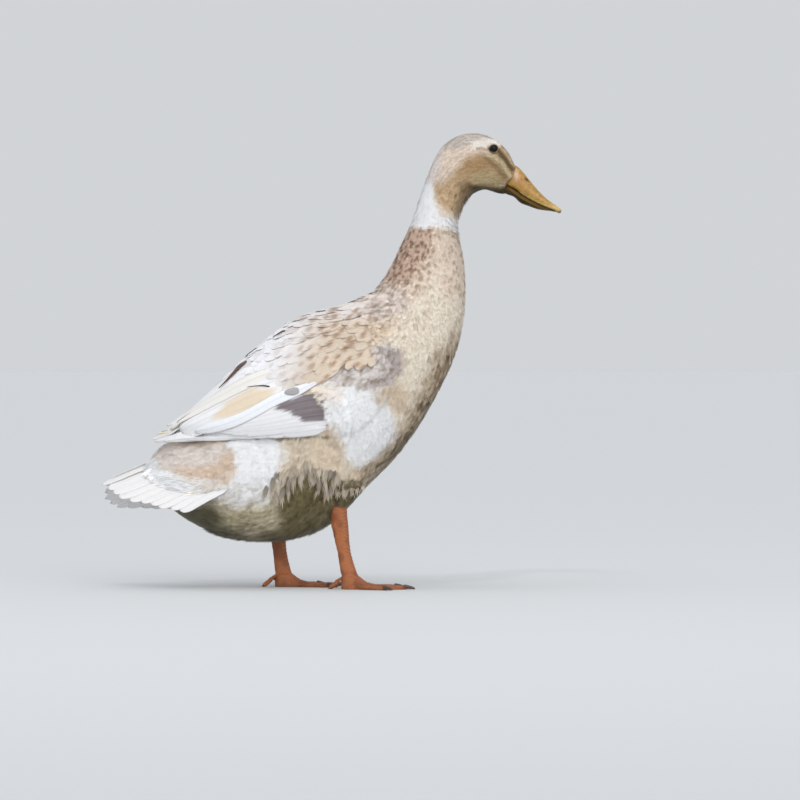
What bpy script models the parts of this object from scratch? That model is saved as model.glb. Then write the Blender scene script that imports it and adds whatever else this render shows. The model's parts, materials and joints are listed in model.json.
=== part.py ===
"""A runner-type domestic duck hen, standing with its right foot forward, at life size.

Frame: +X towards the bill, +Y towards the bird's left, +Z up, floor at z = 0.
Lengths below are in units of which the bird's crown stands 455 above the floor; STANDING_HEIGHT
gives the unit its real size, so a unit is 0.95 mm. Everything is made in metres.
"""

import math

import bmesh
import bpy
from mathutils import Vector

STANDING_HEIGHT = 0.43225       # floor to crown, metres
CROWN_UNITS = 455.0             # the same height in the tables' units
UNIT = STANDING_HEIGHT / CROWN_UNITS
CUT = 0.32                      # gap kept between neighbouring pieces
SHIFT_X = 0.8                   # moves the whole bird along X so that its box is centred on the origin

# Rings of the body from the bill's base to the end of the rump. Each ring is a plane across the body: its
# upper point (crown, nape or back: x, z), its lower point (throat, breast or belly: x, z), its half width.
BODY_RINGS = (
    ((179.0, 428.5), (173.5, 397.0), 9.6),      # 0  base of the bill
    ((173.0, 439.0), (166.5, 397.0), 12.8),     # 1  lores
    ((163.5, 448.0), (158.5, 397.5), 15.8),     # 2  front of the eye
    ((151.0, 453.8), (149.5, 397.8), 17.8),     # 3  back of the eye, widest cheeks
    ((136.0, 455.0), (142.0, 395.0), 18.4),     # 4  crown
    ((121.5, 451.0), (137.0, 392.5), 18.2),     # 5
    ((110.0, 443.0), (133.5, 388.0), 17.6),     # 6
    ((102.5, 432.0), (130.5, 383.0), 17.0),     # 7  back of the head
    ((96.5, 419.0), (127.5, 377.5), 16.8),      # 8  top of the neck
    ((88.5, 398.5), (124.8, 369.0), 17.4),      # 9
    ((81.5, 377.0), (124.0, 360.0), 18.8),      # 10 white neck ring
    ((73.0, 354.0), (127.0, 349.0), 22.0),      # 11
    ((62.5, 332.0), (131.0, 332.0), 26.5),      # 12
    ((51.0, 312.0), (133.2, 309.0), 32.0),      # 13 base of the neck
    ((35.0, 292.0), (133.0, 283.0), 38.0),      # 14
    ((12.0, 282.0), (129.0, 253.5), 45.0),      # 15 shoulders
    ((-13.0, 275.5), (120.0, 224.5), 52.0),     # 16
    ((-36.0, 264.5), (105.5, 194.5), 57.0),     # 17
    ((-58.0, 246.0), (86.5, 161.5), 60.0),      # 18
    ((-79.0, 226.0), (62.0, 128.5), 62.0),      # 19
    ((-99.0, 204.5), (33.0, 99.5), 62.5),       # 20 thighs
    ((-118.0, 183.0), (2.0, 66.5), 61.5),       # 21
    ((-135.0, 165.0), (-34.0, 50.0), 59.0),     # 22 lowest belly
    ((-152.0, 153.0), (-75.0, 46.5), 53.5),     # 23
    ((-168.0, 145.0), (-107.0, 50.0), 47.5),    # 24 vent
    ((-179.5, 135.5), (-131.0, 59.5), 38.5),    # 25
    ((-186.5, 125.0), (-149.5, 70.0), 29.0),    # 26
    ((-193.5, 118.0), (-164.0, 81.5), 19.0),    # 27 under the tail
    ((-199.0, 112.0), (-178.0, 95.0), 8.0),     # 28
)
HEAD_END = 8.0                  # ring where the head meets the neck
NECK_END = 13.0                 # ring where the neck meets the trunk
HEAD_NARROWING = 0.13           # how much narrower the crown is than the cheeks
NARROWING_RINGS = 3.0           # rings over which that narrowing fades out towards the neck
BODY_SQUARENESS = 2.15          # power of the body's oval rings; 2 is a plain ellipse
BODY_SIDES = 28
TRUNK_RINGS = 34
NECK_RINGS = 11
HEAD_RINGS = 14

# What a folded wing adds to the body: at a ring, its rise above the back and its stand-off at the side.
WING_OVER_BODY = (
    (15.0, 2.0, 3.0),
    (16.0, 3.5, 5.0),
    (17.0, 5.5, 6.5),
    (18.0, 7.0, 7.5),
    (19.0, 8.0, 8.0),
    (20.0, 9.5, 8.0),
    (21.0, 11.5, 8.0),
    (22.0, 12.5, 7.5),
    (23.0, 12.5, 6.5),
    (24.0, 10.0, 6.0),
    (24.6, 9.0, 5.5),
)
WING_FRONT_TOP = 15.1           # ring at the wing's front edge beside the spine
WING_FRONT_LOW = 16.8           # ring at the wing's front edge at its lower corner
WING_TIP_TOP = 24.35            # ring at the wing's rear edge beside the spine
WING_TIP_LOW = 23.5             # ring at the wing's rear edge along its lower border
WING_TOP_INSET = 2.2            # distance of the upper edge from the spine
WING_LOW_Z = 151.5              # height of the straight lower edge of the folded wing
WING_WRIST_X = 64.0             # foremost point of the folded wing
WING_WRIST_RISE = 56.0          # how far the lower edge climbs from its level stretch to the wrist
WING_BEND_X = 2.0               # where the lower edge leaves its level stretch
WING_BEND_POWER = 2.2           # how suddenly it then climbs
WING_THICK = 6.5                # thickest blade of the folded wing
WING_EDGE = 1.3                 # thinnest edge of the folded wing
WING_GAP = 1.0                  # clear space under the wing, more than a facet's sagitta
WING_FRONT_SWEEP = 3.0          # power of the front edge's run from the spine to its lower corner
WING_REAR_SWEEP = 1.5           # the same for the rear edge
WING_SNUG_FRONT = 0.12          # share of the wing's length over which its front edge settles on the body
WING_SNUG_LOW = 0.25            # share of its depth over which its lower edge does
WING_SNUG_LEAST = 0.35          # share of the stand-off left right at those edges
WING_FINE_FRONT = 0.12          # shares of the wing over which the blade thins out: front,
WING_FINE_REAR = 0.30           # rear,
WING_FINE_LOW = 0.22            # lower edge
WING_FINE_TOP = 0.4             # and upper edge, which starts partly thinned
WING_TIP_THINNING = 0.55        # how much of the blade's thickness is gone at the tip
WING_ALONG = 18                 # steps from the shoulder to the tip
WING_ACROSS = 9                 # steps from the spine to the lower edge

# Tail fan, from its near (right) edge over the ridge to its left edge: base (x, y, z) and tip (x, y, z).
TAIL_FAN = (
    ((-104.0, -50.0, 104.5), (-151.5, -57.0, 79.5)),
    ((-110.0, -38.0, 112.0), (-174.0, -46.0, 83.5)),
    ((-116.0, -26.0, 121.0), (-198.0, -33.0, 87.5)),
    ((-122.0, -13.0, 134.0), (-222.0, -17.0, 95.5)),
    ((-128.0, 0.0, 146.0), (-228.5, 0.0, 103.0)),
    ((-122.0, 13.0, 134.0), (-229.5, 17.0, 91.5)),
    ((-116.0, 26.0, 121.0), (-220.0, 33.0, 81.5)),
    ((-110.0, 38.0, 112.0), (-194.0, 46.0, 79.5)),
    ((-104.0, 50.0, 104.5), (-160.0, 57.0, 79.5)),
)
TAIL_ACROSS = 16                # steps across the fan
TAIL_ALONG = 7                  # steps from the base to the tip
TAIL_ROOT_THICK = 11.0
TAIL_TIP_THICK = 1.6
TAIL_THINNING_POWER = 0.7       # how early the fan thins out
TAIL_EDGE_HALF_THICK = 1.2      # half thickness along the two outer borders

EYE_CENTRE = (160.3, 10.6, 438.7)
EYE_RADIUS = 5.1
EYE_SUBDIVISIONS = 2

# Upper bill: culmen point, mouth-line point, half width and squareness of the section.
BILL_UPPER = (
    ((179.4, 427.6), (175.3, 404.6), 9.3, 2.1),
    ((186.0, 421.0), (180.0, 398.7), 9.8, 2.2),
    ((193.0, 412.5), (188.0, 392.9), 9.6, 2.3),
    ((200.0, 403.7), (196.0, 388.0), 9.5, 2.4),
    ((208.0, 394.5), (205.0, 383.4), 10.1, 2.5),
    ((216.0, 387.1), (214.3, 379.6), 10.8, 2.6),
    ((222.5, 382.5), (221.0, 377.3), 10.2, 2.6),
    ((226.7, 379.4), (225.3, 374.6), 7.4, 2.4),
    ((228.4, 377.4), (227.6, 375.0), 2.6, 2.0),
)
BILL_SIDES = 16
BILL_FLATTENING = 1.35          # how much flatter the side along the mouth is than the rounded one
BILL_RINGS_PER_ROW = 2
# Lower bill: mouth-line point, underside point, half width, squareness.
BILL_LOWER = (
    ((175.3, 404.2), (174.2, 398.0), 8.6, 2.2),
    ((180.0, 398.2), (177.5, 390.3), 8.9, 2.2),
    ((188.0, 392.4), (186.5, 384.3), 8.7, 2.2),
    ((196.6, 387.2), (196.2, 380.9), 8.6, 2.3),
    ((205.3, 382.7), (206.0, 378.0), 9.0, 2.4),
    ((213.6, 379.3), (214.5, 376.9), 9.2, 2.4),
    ((219.4, 377.3), (220.0, 375.8), 7.2, 2.2),
)

# Feathered right thigh below the belly: centre (x, y, z), half depth, half width; the first is in the body.
# The left thigh is wholly inside the belly's feathers.
THIGH_RIGHT = (
    ((22.0, -36.0, 133.0), 24.0, 17.0),
    ((17.5, -36.0, 113.0), 20.0, 17.0),
    ((14.0, -33.5, 98.0), 14.5, 13.5),
    ((9.5, -31.0, 88.0), 10.5, 10.0),
    ((6.6, -29.6, 80.5), 8.0, 7.2),
)
THIGH_SIDES = 18
SHANK_SIDES = 14
# Bare shanks from the hock to the toes: centre (x, y, z), half depth, half width.
SHANK_RIGHT = (
    ((6.4, -29.4, 79.9), 7.6, 6.8),
    ((6.2, -29.0, 74.0), 8.4, 6.9),
    ((7.3, -28.6, 62.0), 8.6, 5.6),
    ((9.2, -28.2, 49.0), 7.4, 4.7),
    ((11.4, -28.0, 37.0), 6.7, 4.6),
    ((13.4, -28.0, 27.0), 7.3, 5.2),
    ((16.0, -28.0, 18.0), 8.2, 6.4),
    ((18.0, -28.0, 13.3), 8.4, 6.8),
)
SHANK_LEFT = (
    ((-57.4, 29.5, 72.9), 7.6, 6.8),
    ((-57.6, 29.2, 67.0), 8.4, 6.9),
    ((-56.6, 28.7, 56.0), 8.6, 5.7),
    ((-55.2, 28.3, 46.0), 7.6, 4.8),
    ((-54.0, 28.0, 36.0), 7.0, 4.6),
    ((-52.6, 28.0, 27.0), 7.3, 5.2),
    ((-50.8, 28.0, 18.0), 8.2, 6.4),
    ((-49.4, 28.0, 13.3), 8.4, 6.8),
)
FOOT_YAW_DEG = 7.0              # toes turned out from straight ahead
TOES = ((-32.0, 46.0), (0.0, 57.0), (32.0, 52.0))     # inner, middle, outer: angle (deg), length
TOE_HALF_WIDTH = 4.2
TOE_ROOT_HEIGHT = 13.0
TOE_TIP_HEIGHT = 4.6
TOE_FALL_RATE = 2.1             # the toe is down to its tip's height at 1/rate of its length
TOE_FALL_POWER = 0.8
ANKLE_RADIUS = 8.6              # raised round plateau under the shank
ANKLE_FALL = 9.0                # distance over which it drops to the web
ANKLE_SHARE = 0.85              # largest share of the foot's reach the plateau may take
WEB_HEIGHT = 1.7
WEB_DIP = 8.5                   # how far the web's front edge is hollowed between two toes
RIM_HEIGHT_SHARE = 0.62         # height of the foot's rounded rim against the surface beside it
HEEL_REACH = 9.5                # pad behind the shank
FOOT_SIDES = 45                 # a whole number of steps to each toe's angle
FOOT_RINGS = 7
CLAW_LENGTH = 7.0
CLAW_RADIUS = 1.9
CLAW_RINGS = 5
CLAW_SIDES = 8
CLAW_TAPER_POWER = 0.6
CLAW_TIP_RADIUS = 0.25
CLAW_NARROWNESS = 0.8           # width against height
CLAW_ROOT_Z = 2.5
CLAW_DROP = 1.6                 # how far the tip hangs below the root
# Small hind toe: distance behind and inwards from the shank's last row, height above the floor, radius.
HALLUX_PATH = (
    (11.5, 2.0, 9.0, 2.6),
    (14.5, 3.0, 6.2, 2.8),
    (18.0, 4.0, 3.2, 2.5),
    (21.0, 4.8, 1.7, 1.5),
)
HALLUX_SIDES = 10
HALLUX_FLATNESS = 0.6           # depth of its rings along the bird against their width
SHARP_EDGE_DEG = 50.0           # edges steeper than this stay crisp


# ---- small helpers ----

def clear_scene():
    for old in list(bpy.data.objects):
        bpy.data.objects.remove(old, do_unlink=True)


def spline(table, s):
    """Catmull-Rom reading of a table of equal-length number tuples at the fractional row s."""
    last = len(table) - 1
    i = min(max(int(math.floor(s)), 0), last - 1)
    t = s - i
    p0 = table[max(i - 1, 0)]
    p1 = table[i]
    p2 = table[i + 1]
    p3 = table[min(i + 2, last)]
    return tuple(
        0.5 * (2 * b + (c - a) * t + (2 * a - 5 * b + 4 * c - d) * t * t + (3 * b - a - 3 * c + d) * t ** 3)
        for a, b, c, d in zip(p0, p1, p2, p3))


def keyed(table, x):
    """Straight-line reading of rows (key, value, ...) at key x."""
    if x <= table[0][0]:
        return table[0][1:]
    for low, high in zip(table, table[1:]):
        if x <= high[0]:
            t = (x - low[0]) / (high[0] - low[0])
            return tuple(a + (b - a) * t for a, b in zip(low[1:], high[1:]))
    return table[-1][1:]


def flat(row):
    """A row of nested tuples as one flat tuple."""
    out = []
    for item in row:
        out.extend(item if isinstance(item, tuple) else (item,))
    return tuple(out)


def superellipse(angle, power):
    """Unit superellipse: 0 at the top, turning towards the side."""
    c, s = math.cos(angle), math.sin(angle)
    return (math.copysign(abs(c) ** (2.0 / power), c), math.copysign(abs(s) ** (2.0 / power), s))


def material(name, colour, roughness):
    mat = bpy.data.materials.new(name)
    mat.use_nodes = True
    shader = mat.node_tree.nodes["Principled BSDF"]
    shader.inputs["Base Color"].default_value = (*colour, 1.0)
    shader.inputs["Roughness"].default_value = roughness
    shader.inputs["Metallic"].default_value = 0.0
    return mat


def add_object(name, bm, mat):
    """Finishes a bmesh as one named object with outward faces."""
    bmesh.ops.recalc_face_normals(bm, faces=bm.faces)
    bmesh.ops.scale(bm, vec=(UNIT, UNIT, UNIT), verts=bm.verts)
    bmesh.ops.translate(bm, vec=(SHIFT_X * UNIT, 0.0, 0.0), verts=bm.verts)
    mesh = bpy.data.meshes.new(name)
    bm.to_mesh(mesh)
    bm.free()
    mesh.shade_smooth()
    mesh.set_sharp_from_angle(angle=math.radians(SHARP_EDGE_DEG))
    mesh.materials.append(mat)
    obj = bpy.data.objects.new(name, mesh)
    bpy.context.scene.collection.objects.link(obj)
    return obj


def loft(rings):
    """Closed solid through rings of points; both ends are capped with a fan round their centre."""
    bm = bmesh.new()
    loops = [[bm.verts.new(point) for point in ring] for ring in rings]
    count = len(loops[0])
    for a, b in zip(loops, loops[1:]):
        for k in range(count):
            n = (k + 1) % count
            bm.faces.new((a[k], a[n], b[n], b[k]))
    for loop in (loops[0], loops[-1]):
        cap = bm.faces.new(loop)
        bmesh.ops.poke(bm, faces=[cap])
    return bm


def cut_by(obj, cutter):
    """Takes the cutter's shape out of the object."""
    boolean = obj.modifiers.new("Cut by " + cutter.name, "BOOLEAN")
    boolean.operation = "DIFFERENCE"
    boolean.solver = "EXACT"
    boolean.object = cutter


def as_cutter(obj):
    obj.hide_render = True
    obj.display_type = "WIRE"
    return obj


# ---- body ----

BODY_TABLE = tuple(flat(row) for row in BODY_RINGS)


def body_ring_frame(s):
    """Centre, direction to the back, half height and half width of the body at ring s."""
    top_x, top_z, low_x, low_z, half_width = spline(BODY_TABLE, s)
    centre = Vector(((top_x + low_x) / 2, 0.0, (top_z + low_z) / 2))
    up = Vector((top_x - low_x, 0.0, top_z - low_z)) / 2
    half_height = up.length
    return centre, up / half_height, half_height, max(half_width, 1.0)


def body_point(s, angle, side=1.0, grow=0.0, rise=0.0, spread=0.0):
    """A point on the body's surface; angle 0 is the back, pi the belly, side +1 left and -1 right."""
    centre, up, half_height, half_width = body_ring_frame(s)
    head_share = max(0.0, min(1.0, (HEAD_END - s) / NARROWING_RINGS))
    c, w = superellipse(angle, BODY_SQUARENESS)
    narrowing = 1.0 - HEAD_NARROWING * head_share * c
    height = half_height + grow + (rise if c > 0 else 0.0)
    width = half_width * narrowing + grow + spread
    return centre + up * (height * c) + Vector((0.0, side * width * w, 0.0))


def body_loop(s, grow=0.0):
    points = []
    for k in range(BODY_SIDES):
        angle = 2 * math.pi * k / BODY_SIDES
        points.append(body_point(s, angle, 1.0, grow))
    return points


def shifted(points, along, distance):
    return [p + along * distance for p in points]


def ring_axis(s):
    """Direction along the body at ring s, towards the tail."""
    here = body_ring_frame(s - 0.01)[0]
    there = body_ring_frame(s + 0.01)[0]
    up = body_ring_frame(s)[1]
    across = Vector((up.z, 0.0, -up.x))
    return across if across.dot(there - here) > 0 else -across


def body_loft(first, last, count, front_trim=0.0, back_trim=0.0, grow=0.0):
    """Body solid between two rings, with its flat ends trimmed back by half a cut."""
    rings = []
    for i in range(count + 1):
        s = first + (last - first) * i / count
        rings.append(body_loop(s, grow))
    rings[0] = shifted(rings[0], ring_axis(first), front_trim)
    rings[-1] = shifted(rings[-1], ring_axis(last), -back_trim)
    return loft(rings)


def build_body(feathers):
    head = add_object("head", body_loft(0.0, HEAD_END, HEAD_RINGS, 0.0, CUT / 2), feathers["head"])
    add_object("neck", body_loft(HEAD_END, NECK_END, NECK_RINGS, CUT / 2, CUT / 2), feathers["neck"])
    last = len(BODY_RINGS) - 1
    add_object("trunk", body_loft(NECK_END, last, TRUNK_RINGS, CUT / 2, 0.0), feathers["trunk"])
    grown = body_loft(NECK_END, last, TRUNK_RINGS, 0.0, 0.0, CUT)
    room = add_object("trunk_room", grown, feathers["trunk"])
    return head, as_cutter(room)


# ---- wings ----

def wing_low_z(x):
    """Height of the folded wing's lower edge: level behind, climbing to the wrist in front."""
    share = max(x - WING_BEND_X, 0.0) / (WING_WRIST_X - WING_BEND_X)
    return WING_LOW_Z + WING_WRIST_RISE * share ** WING_BEND_POWER


def wing_low_angle(s, side):
    """Angle round ring s where the folded wing's lower edge runs."""
    _, spread = keyed(WING_OVER_BODY, s)
    low, high = 0.2, math.pi * 0.7
    for _ in range(30):
        middle = (low + high) / 2
        place = body_point(s, middle, side, 0.0, 0.0, spread)
        if place.z > wing_low_z(place.x):
            low = middle
        else:
            high = middle
    return (low + high) / 2


def wing_point(u, v, side, outer):
    """Outer or inner face of the folded wing; u runs from shoulder to tip, v from the spine downwards."""
    front = WING_FRONT_TOP + (WING_FRONT_LOW - WING_FRONT_TOP) * v ** WING_FRONT_SWEEP
    rear = WING_TIP_TOP + (WING_TIP_LOW - WING_TIP_TOP) * v ** WING_REAR_SWEEP
    s = front + (rear - front) * u
    rise, spread = keyed(WING_OVER_BODY, s)
    half_width = body_ring_frame(s)[3]
    top_angle = WING_TOP_INSET / (half_width + spread)
    angle = top_angle + (wing_low_angle(s, side) - top_angle) * v
    on_body = body_point(s, angle, side)
    on_wing = body_point(s, angle, side, 0.0, rise, spread)
    outward = on_wing - on_body
    room = outward.length
    outward.normalize()
    snug = min(u / WING_SNUG_FRONT, (1 - v) / WING_SNUG_LOW, 1.0)
    stand_off = WING_SNUG_LEAST + (1 - WING_SNUG_LEAST) * math.sin(snug * math.pi / 2)
    outer_gap = max(room * stand_off, WING_GAP + WING_EDGE)
    lengthwise = min(u / WING_FINE_FRONT, (1 - u) / WING_FINE_REAR)
    crosswise = min((1 - v) / WING_FINE_LOW, (v + WING_SNUG_LOW) / WING_FINE_TOP)
    edge = max(min(lengthwise, crosswise, 1.0), 0.0)
    blade = WING_EDGE + (WING_THICK - WING_EDGE) * math.sin(edge * math.pi / 2)
    blade = max(blade * (1.0 - WING_TIP_THINNING * u), WING_EDGE)
    inner_gap = max(outer_gap - blade, WING_GAP)
    return on_body + outward * (outer_gap if outer else inner_gap)


def build_wing(name, side, mat):
    bm = bmesh.new()
    grids = []
    for outer in (True, False):
        grid = []
        for i in range(WING_ALONG + 1):
            row = []
            for j in range(WING_ACROSS + 1):
                row.append(bm.verts.new(wing_point(i / WING_ALONG, j / WING_ACROSS, side, outer)))
            grid.append(row)
        grids.append(grid)
    for grid in grids:
        for i in range(WING_ALONG):
            for j in range(WING_ACROSS):
                bm.faces.new((grid[i][j], grid[i][j + 1], grid[i + 1][j + 1], grid[i + 1][j]))
    bmesh.ops.bridge_loops(bm, edges=[e for e in bm.edges if e.is_boundary])
    bmesh.ops.triangulate(bm, faces=bm.faces)
    return add_object(name, bm, mat)


# ---- tail ----

def build_tail(mat, trunk_room):
    table = tuple(flat(row) for row in TAIL_FAN)
    bm = bmesh.new()
    grids = []
    for sign in (1.0, -1.0):
        grid = []
        for i in range(TAIL_ACROSS + 1):
            values = spline(table, i * (len(table) - 1) / TAIL_ACROSS)
            base, tip = Vector(values[:3]), Vector(values[3:])
            row = []
            for j in range(TAIL_ALONG + 1):
                t = j / TAIL_ALONG
                half = (TAIL_ROOT_THICK + (TAIL_TIP_THICK - TAIL_ROOT_THICK) * t ** TAIL_THINNING_POWER) / 2
                if i in (0, TAIL_ACROSS):
                    half = min(half, TAIL_EDGE_HALF_THICK)
                row.append(bm.verts.new(base.lerp(tip, t) + Vector((0.0, 0.0, sign * half - half))))
            grid.append(row)
        grids.append(grid)
    for grid in grids:
        for i in range(TAIL_ACROSS):
            for j in range(TAIL_ALONG):
                bm.faces.new((grid[i][j], grid[i][j + 1], grid[i + 1][j + 1], grid[i + 1][j]))
    bmesh.ops.bridge_loops(bm, edges=[e for e in bm.edges if e.is_boundary])
    bmesh.ops.triangulate(bm, faces=bm.faces)
    tail = add_object("tail", bm, mat)
    cut_by(tail, trunk_room)
    return tail


# ---- bill and eyes ----

def bill_loop(values, flat_side):
    """Section of the bill: rounded on one side and flattened along the mouth."""
    top = Vector((values[0], 0.0, values[1]))
    low = Vector((values[2], 0.0, values[3]))
    half_width, power = values[4], values[5]
    up = (top - low)
    height = up.length
    up.normalize()
    points = []
    for k in range(BILL_SIDES):
        c, w = superellipse(2 * math.pi * k / BILL_SIDES, power)
        share = (c + 1) / 2
        if flat_side == "low":
            share = share ** BILL_FLATTENING
        else:
            share = 1 - (1 - share) ** BILL_FLATTENING
        points.append(low + up * (height * share) + Vector((0.0, half_width * w, 0.0)))
    return points


def build_bill(mat):
    for name, rows, flat_side in (("bill_upper", BILL_UPPER, "low"), ("bill_lower", BILL_LOWER, "top")):
        table = tuple(flat(row) for row in rows)
        rings = []
        for i in range(BILL_RINGS_PER_ROW * (len(table) - 1) + 1):
            rings.append(bill_loop(spline(table, i / BILL_RINGS_PER_ROW), flat_side))
        add_object(name, loft(rings), mat)


def build_eyes(head, mat):
    x, y, z = EYE_CENTRE
    for name, side in (("eye_left", 1.0), ("eye_right", -1.0)):
        for suffix, radius in (("", EYE_RADIUS), ("_room", EYE_RADIUS + CUT)):
            bm = bmesh.new()
            bmesh.ops.create_icosphere(bm, subdivisions=EYE_SUBDIVISIONS, radius=radius)
            bmesh.ops.translate(bm, vec=(x, y * side, z), verts=bm.verts)
            ball = add_object(name + suffix, bm, mat)
        cut_by(head, as_cutter(ball))


# ---- legs ----

def limb_loft(rows, steps_per_row, sides):
    """Oval tube of level rings through rows of (centre, half depth, half width)."""
    table = tuple(flat(row) for row in rows)
    steps = (len(table) - 1) * steps_per_row
    rings = []
    for i in range(steps + 1):
        x, y, z, depth, width = spline(table, i / steps_per_row)
        ring = []
        for k in range(sides):
            a = 2 * math.pi * k / sides
            ring.append(Vector((x + depth * math.cos(a), y + width * math.sin(a), z)))
        rings.append(ring)
    return loft(rings)


def build_legs(feather_mat, skin_mat, trunk_room):
    thigh = add_object("thigh_right", limb_loft(THIGH_RIGHT, 2, THIGH_SIDES), feather_mat)
    cut_by(thigh, trunk_room)
    for name, rows in (("leg_right", SHANK_RIGHT), ("leg_left", SHANK_LEFT)):
        leg = add_object(name, limb_loft(rows, 1, SHANK_SIDES), skin_mat)
        cut_by(leg, trunk_room)


def foot_reach(angle_deg):
    """How far the webbed foot reaches from the shank's axis in a direction."""
    angles = [a for a, _ in TOES]
    if angles[0] <= angle_deg <= angles[-1]:
        for (a0, l0), (a1, l1) in zip(TOES, TOES[1:]):
            if a0 <= angle_deg <= a1:
                t = (angle_deg - a0) / (a1 - a0)
                return l0 + (l1 - l0) * t - WEB_DIP * math.sin(math.pi * t)
    edge, length = TOES[0] if angle_deg < angles[0] else TOES[-1]
    away = abs(angle_deg - edge)
    if away > 180:
        away = 360 - away
    toe_side = TOE_HALF_WIDTH / max(math.sin(math.radians(min(away, 90.0))), 1e-3)
    return max(min(length, toe_side), HEEL_REACH)


def foot_height(x, y):
    """Height of the foot's upper side above the floor at a place given from the shank's axis."""
    r = math.hypot(x, y)
    height = WEB_HEIGHT
    for angle_deg, length in TOES:
        a = math.radians(angle_deg)
        along = x * math.cos(a) + y * math.sin(a)
        aside = -x * math.sin(a) + y * math.cos(a)
        if along > 0:
            t = min(along / length, 1.0)
            fall = min(1.0, t * TOE_FALL_RATE) ** TOE_FALL_POWER
            rise = TOE_ROOT_HEIGHT + (TOE_TIP_HEIGHT - TOE_ROOT_HEIGHT) * fall
            share = 1 - (aside / TOE_HALF_WIDTH) ** 2
            if share > 0:
                height = max(height, WEB_HEIGHT + (rise - WEB_HEIGHT) * math.sqrt(share))
    plateau = TOE_ROOT_HEIGHT * max(0.0, 1 - max(0.0, r - ANKLE_RADIUS) / ANKLE_FALL)
    return max(height, plateau)


def build_foot(name, rows, side, mat, claw_mat):
    x0, y0 = rows[-1][0][0], rows[-1][0][1]
    yaw = math.radians(FOOT_YAW_DEG * side)
    angles = [360 * k / FOOT_SIDES for k in range(FOOT_SIDES)]
    angles = [a - 360 if a > 180 else a for a in angles]
    bm = bmesh.new()
    rims = []
    centre = bm.verts.new((x0, y0, TOE_ROOT_HEIGHT))
    for i in range(1, FOOT_RINGS + 1):
        rim = []
        for angle_deg in angles:
            reach = foot_reach(angle_deg)
            first = min(ANKLE_RADIUS, reach * ANKLE_SHARE)
            r = first + (reach - first) * (i - 1) / (FOOT_RINGS - 1)
            a = math.radians(angle_deg)
            px, py = r * math.cos(a), -side * r * math.sin(a)
            z = foot_height(r * math.cos(a), r * math.sin(a))
            if i == FOOT_RINGS:
                z = RIM_HEIGHT_SHARE * z
            wx = px * math.cos(yaw) - py * math.sin(yaw)
            wy = px * math.sin(yaw) + py * math.cos(yaw)
            rim.append(bm.verts.new((x0 + wx, y0 + wy, z)))
        rims.append(rim)
    sole = [bm.verts.new((v.co.x, v.co.y, 0.0)) for v in rims[-1]]
    rims.append(sole)
    for k in range(FOOT_SIDES):
        bm.faces.new((centre, rims[0][k], rims[0][(k + 1) % FOOT_SIDES]))
    for a, b in zip(rims, rims[1:]):
        for k in range(FOOT_SIDES):
            n = (k + 1) % FOOT_SIDES
            bm.faces.new((a[k], a[n], b[n], b[k]))
    bottom = bm.faces.new(sole)
    bmesh.ops.triangulate(bm, faces=[bottom] + [f for f in bm.faces if len(f.verts) == 4])
    add_object(name, bm, mat)
    build_claws(name, x0, y0, side, yaw, claw_mat)


def build_claws(foot_name, x0, y0, side, yaw, mat):
    for label, (angle_deg, length) in zip(("inner", "middle", "outer"), TOES):
        a = -side * math.radians(angle_deg) + yaw
        forward = Vector((math.cos(a), math.sin(a), 0.0))
        aside = Vector((-math.sin(a), math.cos(a), 0.0))
        start = Vector((x0, y0, 0.0)) + forward * (length + CUT)
        rings = []
        for i in range(CLAW_RINGS):
            t = i / (CLAW_RINGS - 1)
            radius = CLAW_RADIUS * (1 - t) ** CLAW_TAPER_POWER + CLAW_TIP_RADIUS
            height = CLAW_ROOT_Z - CLAW_DROP * t * t
            middle = start + forward * (CLAW_LENGTH * t) + Vector((0.0, 0.0, height))
            ring = []
            for k in range(CLAW_SIDES):
                b = 2 * math.pi * k / CLAW_SIDES
                sideways = aside * (radius * CLAW_NARROWNESS * math.cos(b))
                ring.append(middle + sideways + Vector((0.0, 0.0, radius * math.sin(b))))
            rings.append(ring)
        add_object(foot_name.replace("foot", "claw_" + label), loft(rings), mat)


def build_hallux(name, rows, side, mat):
    """Small hind toe, from the back of the shank down to the floor."""
    x0, y0 = rows[-1][0][0], rows[-1][0][1]
    rings = []
    for back, inwards, height, radius in HALLUX_PATH:
        ring = []
        for k in range(HALLUX_SIDES):
            a = 2 * math.pi * k / HALLUX_SIDES
            x = x0 - back + radius * HALLUX_FLATNESS * math.sin(a)
            y = y0 - side * inwards + radius * math.cos(a)
            z = max(height + radius * math.sin(a), 0.0)
            ring.append(Vector((x, y, z)))
        rings.append(ring)
    add_object(name, loft(rings), mat)


def main():
    clear_scene()
    feathers = {
        "head": material("fawn head feathers", (0.42, 0.31, 0.22), 0.85),
        "neck": material("fawn neck feathers", (0.50, 0.38, 0.28), 0.85),
        "trunk": material("fawn body feathers", (0.62, 0.52, 0.41), 0.85),
        "wing": material("pale wing feathers", (0.72, 0.64, 0.54), 0.8),
        "tail": material("white tail feathers", (0.86, 0.83, 0.77), 0.8),
    }
    bill_mat = material("ochre bill", (0.72, 0.38, 0.10), 0.45)
    leg_mat = material("orange leg skin", (0.72, 0.27, 0.10), 0.6)
    claw_mat = material("horn claws", (0.25, 0.18, 0.13), 0.5)
    eye_mat = material("dark eye", (0.02, 0.012, 0.01), 0.08)
    head, trunk_room = build_body(feathers)
    build_wing("wing_left", 1.0, feathers["wing"])
    build_wing("wing_right", -1.0, feathers["wing"])
    build_tail(feathers["tail"], trunk_room)
    build_bill(bill_mat)
    build_eyes(head, eye_mat)
    build_legs(feathers["trunk"], leg_mat, trunk_room)
    for label, rows, side in (("right", SHANK_RIGHT, -1.0), ("left", SHANK_LEFT, 1.0)):
        build_foot("foot_" + label, rows, side, leg_mat, claw_mat)
        build_hallux("hallux_" + label, rows, side, leg_mat)


main()
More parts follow.
